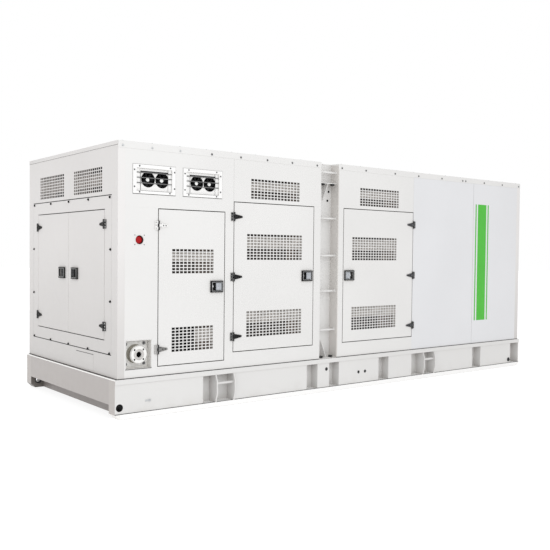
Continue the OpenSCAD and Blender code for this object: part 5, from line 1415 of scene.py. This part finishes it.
turned(shape, [(CUP_RADIUS - 0.1, -0.5), (CUP_RADIUS - 0.1, -9), (CUP_RADIUS - 2.5, -9),
               (CUP_RADIUS - 1.5, 0.5), (CUP_RADIUS + 2, 2.2), (CUP_RADIUS + 6, 1.2),
               (CUP_RADIUS + 6.5, -0.5)],
       (STOP[0], 0, STOP[1]), OUT, steps=64, hollow=True)
make_piece("stop_cup_lip", shape, RIGHT, canopy_coat)
shape = bmesh.new()
turned(shape, [(15.5, -1), (34, -1), (34, 1.5), (31, 4), (20, 4), (17, 6), (15.5, 6)],
       (STOP[0], CUP_FLOOR, STOP[1]), OUT, steps=48, hollow=True)
make_piece("stop_cup_gland", shape, RIGHT, dark_moulding)
spots = [(RIGHT, (STOP[0] + across, 0, STOP[1] + up), OUT) for across in (-47, 47) for up in (-43, 43)]
fasten("stop_cup_screws", spots, CUP_SCREW, flake_grey)

# ---------------------------------------------------------------- Ladder niches
# A ladder let into each side: round rungs welded between the niche walls, with a shelf under the
# roof and one at the foot, each on two black rubber buffers. Two bolts stand in the back wall.
NICHE_MIDDLE, NICHE_HALF = 2514, 126
FAR_WALL = (2.6385, 2.70)
RUNG_DEPTH, RUNG_RADIUS = 52, 11
RUNGS = (310, 735, 1122, 1528, 2028)
WELD = [(RUNG_RADIUS - 1, 0), (RUNG_RADIUS + 7, 0), (RUNG_RADIUS + 5, 2.5), (RUNG_RADIUS + 0.5, 6),
        (RUNG_RADIUS - 1, 6)]
BUFFERS, BUFFER_ACROSS, BUFFER_DEPTH = ((1904, -1), (8, 1)), 71, 39
NICHE_BOLTS = ((2587, 122, 1726), (2604, 122, 1825))
# Painted shade: the niche's far wall is tinted darker and warmer, with painted shade in its corners.
niche_coat = tint(powder_coat("niche_coat", CANOPY_WHITE, corner_shade=0.25), (0.60, 0.575, 0.55),
                  X=[canopy_front + far for far in FAR_WALL], Z=(base_top, base_top + 2.2))
finish_nodes(niche_coat, "ladder_niches")
for name, side in (("right", RIGHT), ("left", LEFT)):
    shape = bmesh.new()
    for height in RUNGS:
        for end in (-1, 1):
            turned(shape, WELD, (NICHE_MIDDLE + end * NICHE_HALF, RUNG_DEPTH, height), (-end, 0, 0), steps=24,
                   hollow=True)
    make_piece("rung_welds_" + name, shape, side, canopy_coat)
    shape = bmesh.new()
    for height, down in BUFFERS:
        for across in (-BUFFER_ACROSS, BUFFER_ACROSS):
            turned(shape, [(0, 0), (22.5, 0), (23, 1), (22.5, 18), (21, 19.5), (9, 19.5), (8, 18), (0, 18)],
                   (NICHE_MIDDLE + across, BUFFER_DEPTH, height), (0, 0, down), steps=28)
    make_piece("step_buffers_" + name, shape, side, black_rubber)
    fasten("niche_bolts_" + name, [(side, place, OUT) for place in NICHE_BOLTS], M10_BOLT, bolt_black)

# ---------------------------------------------------------------- Stripe
# One plain band of green film between two slim ones, set upright on the rear panel.
# It is cut from coloured vinyl, thinner than a millimetre, and pressed flat on the paint.
BANDS, BAND_RISE = ((5048, 5070), (5098, 5272), (5300, 5322)), (300, 1800)
FILM = 0.4
green_film = flecked("green_film", (0.05, 0.44, 0.02), 0.45, scale=6.0, contrast=0.95)
for name, side in (("right", RIGHT), ("left", LEFT)):
    shape = bmesh.new()
    for span in BANDS:
        bar(shape, span, (-FILM, 0.05), BAND_RISE)
    make_piece("green_stripe_" + name, shape, side, green_film)

# ---------------------------------------------------------------- Studio
# A plain pale floor under an even white dome, with one broad soft light on the door side.
FLOOR_HALF, FLOOR_GREY, FLOOR_GLOW = 60.0, 0.2, 0.85
KEY_PLACE, KEY_AIM, KEY_SIZE, KEY_POWER = (-3.1, -6.4, 3.4), (-2.3, -1.0, 1.4), 3.5, 90.0
corners = [(x * FLOOR_HALF, y * FLOOR_HALF, 0.0) for x, y in ((-1, -1), (1, -1), (1, 1), (-1, 1))]
floor_mesh = bpy.data.meshes.new("studio_floor")
floor_mesh.from_pydata(corners, [], [(0, 1, 2, 3)])
floor = bpy.data.objects.new("studio_floor", floor_mesh)
bpy.context.scene.collection.objects.link(floor)
pale_floor, tree, shader, place = new_finish("pale_floor", Roughness=0.9, Emission_Strength=FLOOR_GLOW)
for socket, level in (("Base Color", FLOOR_GREY), ("Emission Color", 1.0)):
    shader.inputs[socket].default_value = (level, level, level, 1)
floor_mesh.materials.append(pale_floor)
floor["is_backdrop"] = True
world = bpy.data.worlds.new("studio")
world.use_nodes = True
dome = world.node_tree.nodes["Background"].inputs
dome["Color"].default_value = (1, 1, 1, 1)
dome["Strength"].default_value = 1.0
bpy.context.scene.world = world
key = bpy.data.lights.new("key_light", "AREA")
key.size = KEY_SIZE
key.energy = KEY_POWER
key.color = (0.94, 0.98, 1.0)
key_lamp = bpy.data.objects.new("key_light", key)
bpy.context.scene.collection.objects.link(key_lamp)
aim = (Vector(KEY_AIM) - Vector(KEY_PLACE)).to_track_quat("-Z", "Y")
key_lamp.matrix_world = Matrix.Translation(KEY_PLACE) @ aim.to_matrix().to_4x4()

# ---------------------------------------------------------------- Camera
# Stands off the corner between the control end and the doors, at eye level, and looks a little
# down. The horizon is turned by a hair.
CAMERA_PLACE, LENS, SENSOR = (-6.058, -7.223, 1.498), 49.81, 36.0
camera = bpy.data.objects.new("camera", bpy.data.cameras.new("camera"))
bpy.context.scene.collection.objects.link(camera)
camera.data.lens = LENS
camera.data.sensor_width = SENSOR
across = Vector((0.7872, -0.6166, 0.0104)).normalized()
forward = Vector((0.6167, 0.7867, -0.0281)).normalized()
turn = Matrix((across, across.cross(forward), -forward)).transposed().to_4x4()
camera.matrix_world = Matrix.Translation(CAMERA_PLACE) @ turn
bpy.context.scene.camera = camera
bpy.context.scene.view_settings.view_transform = "Standard"

low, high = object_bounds()
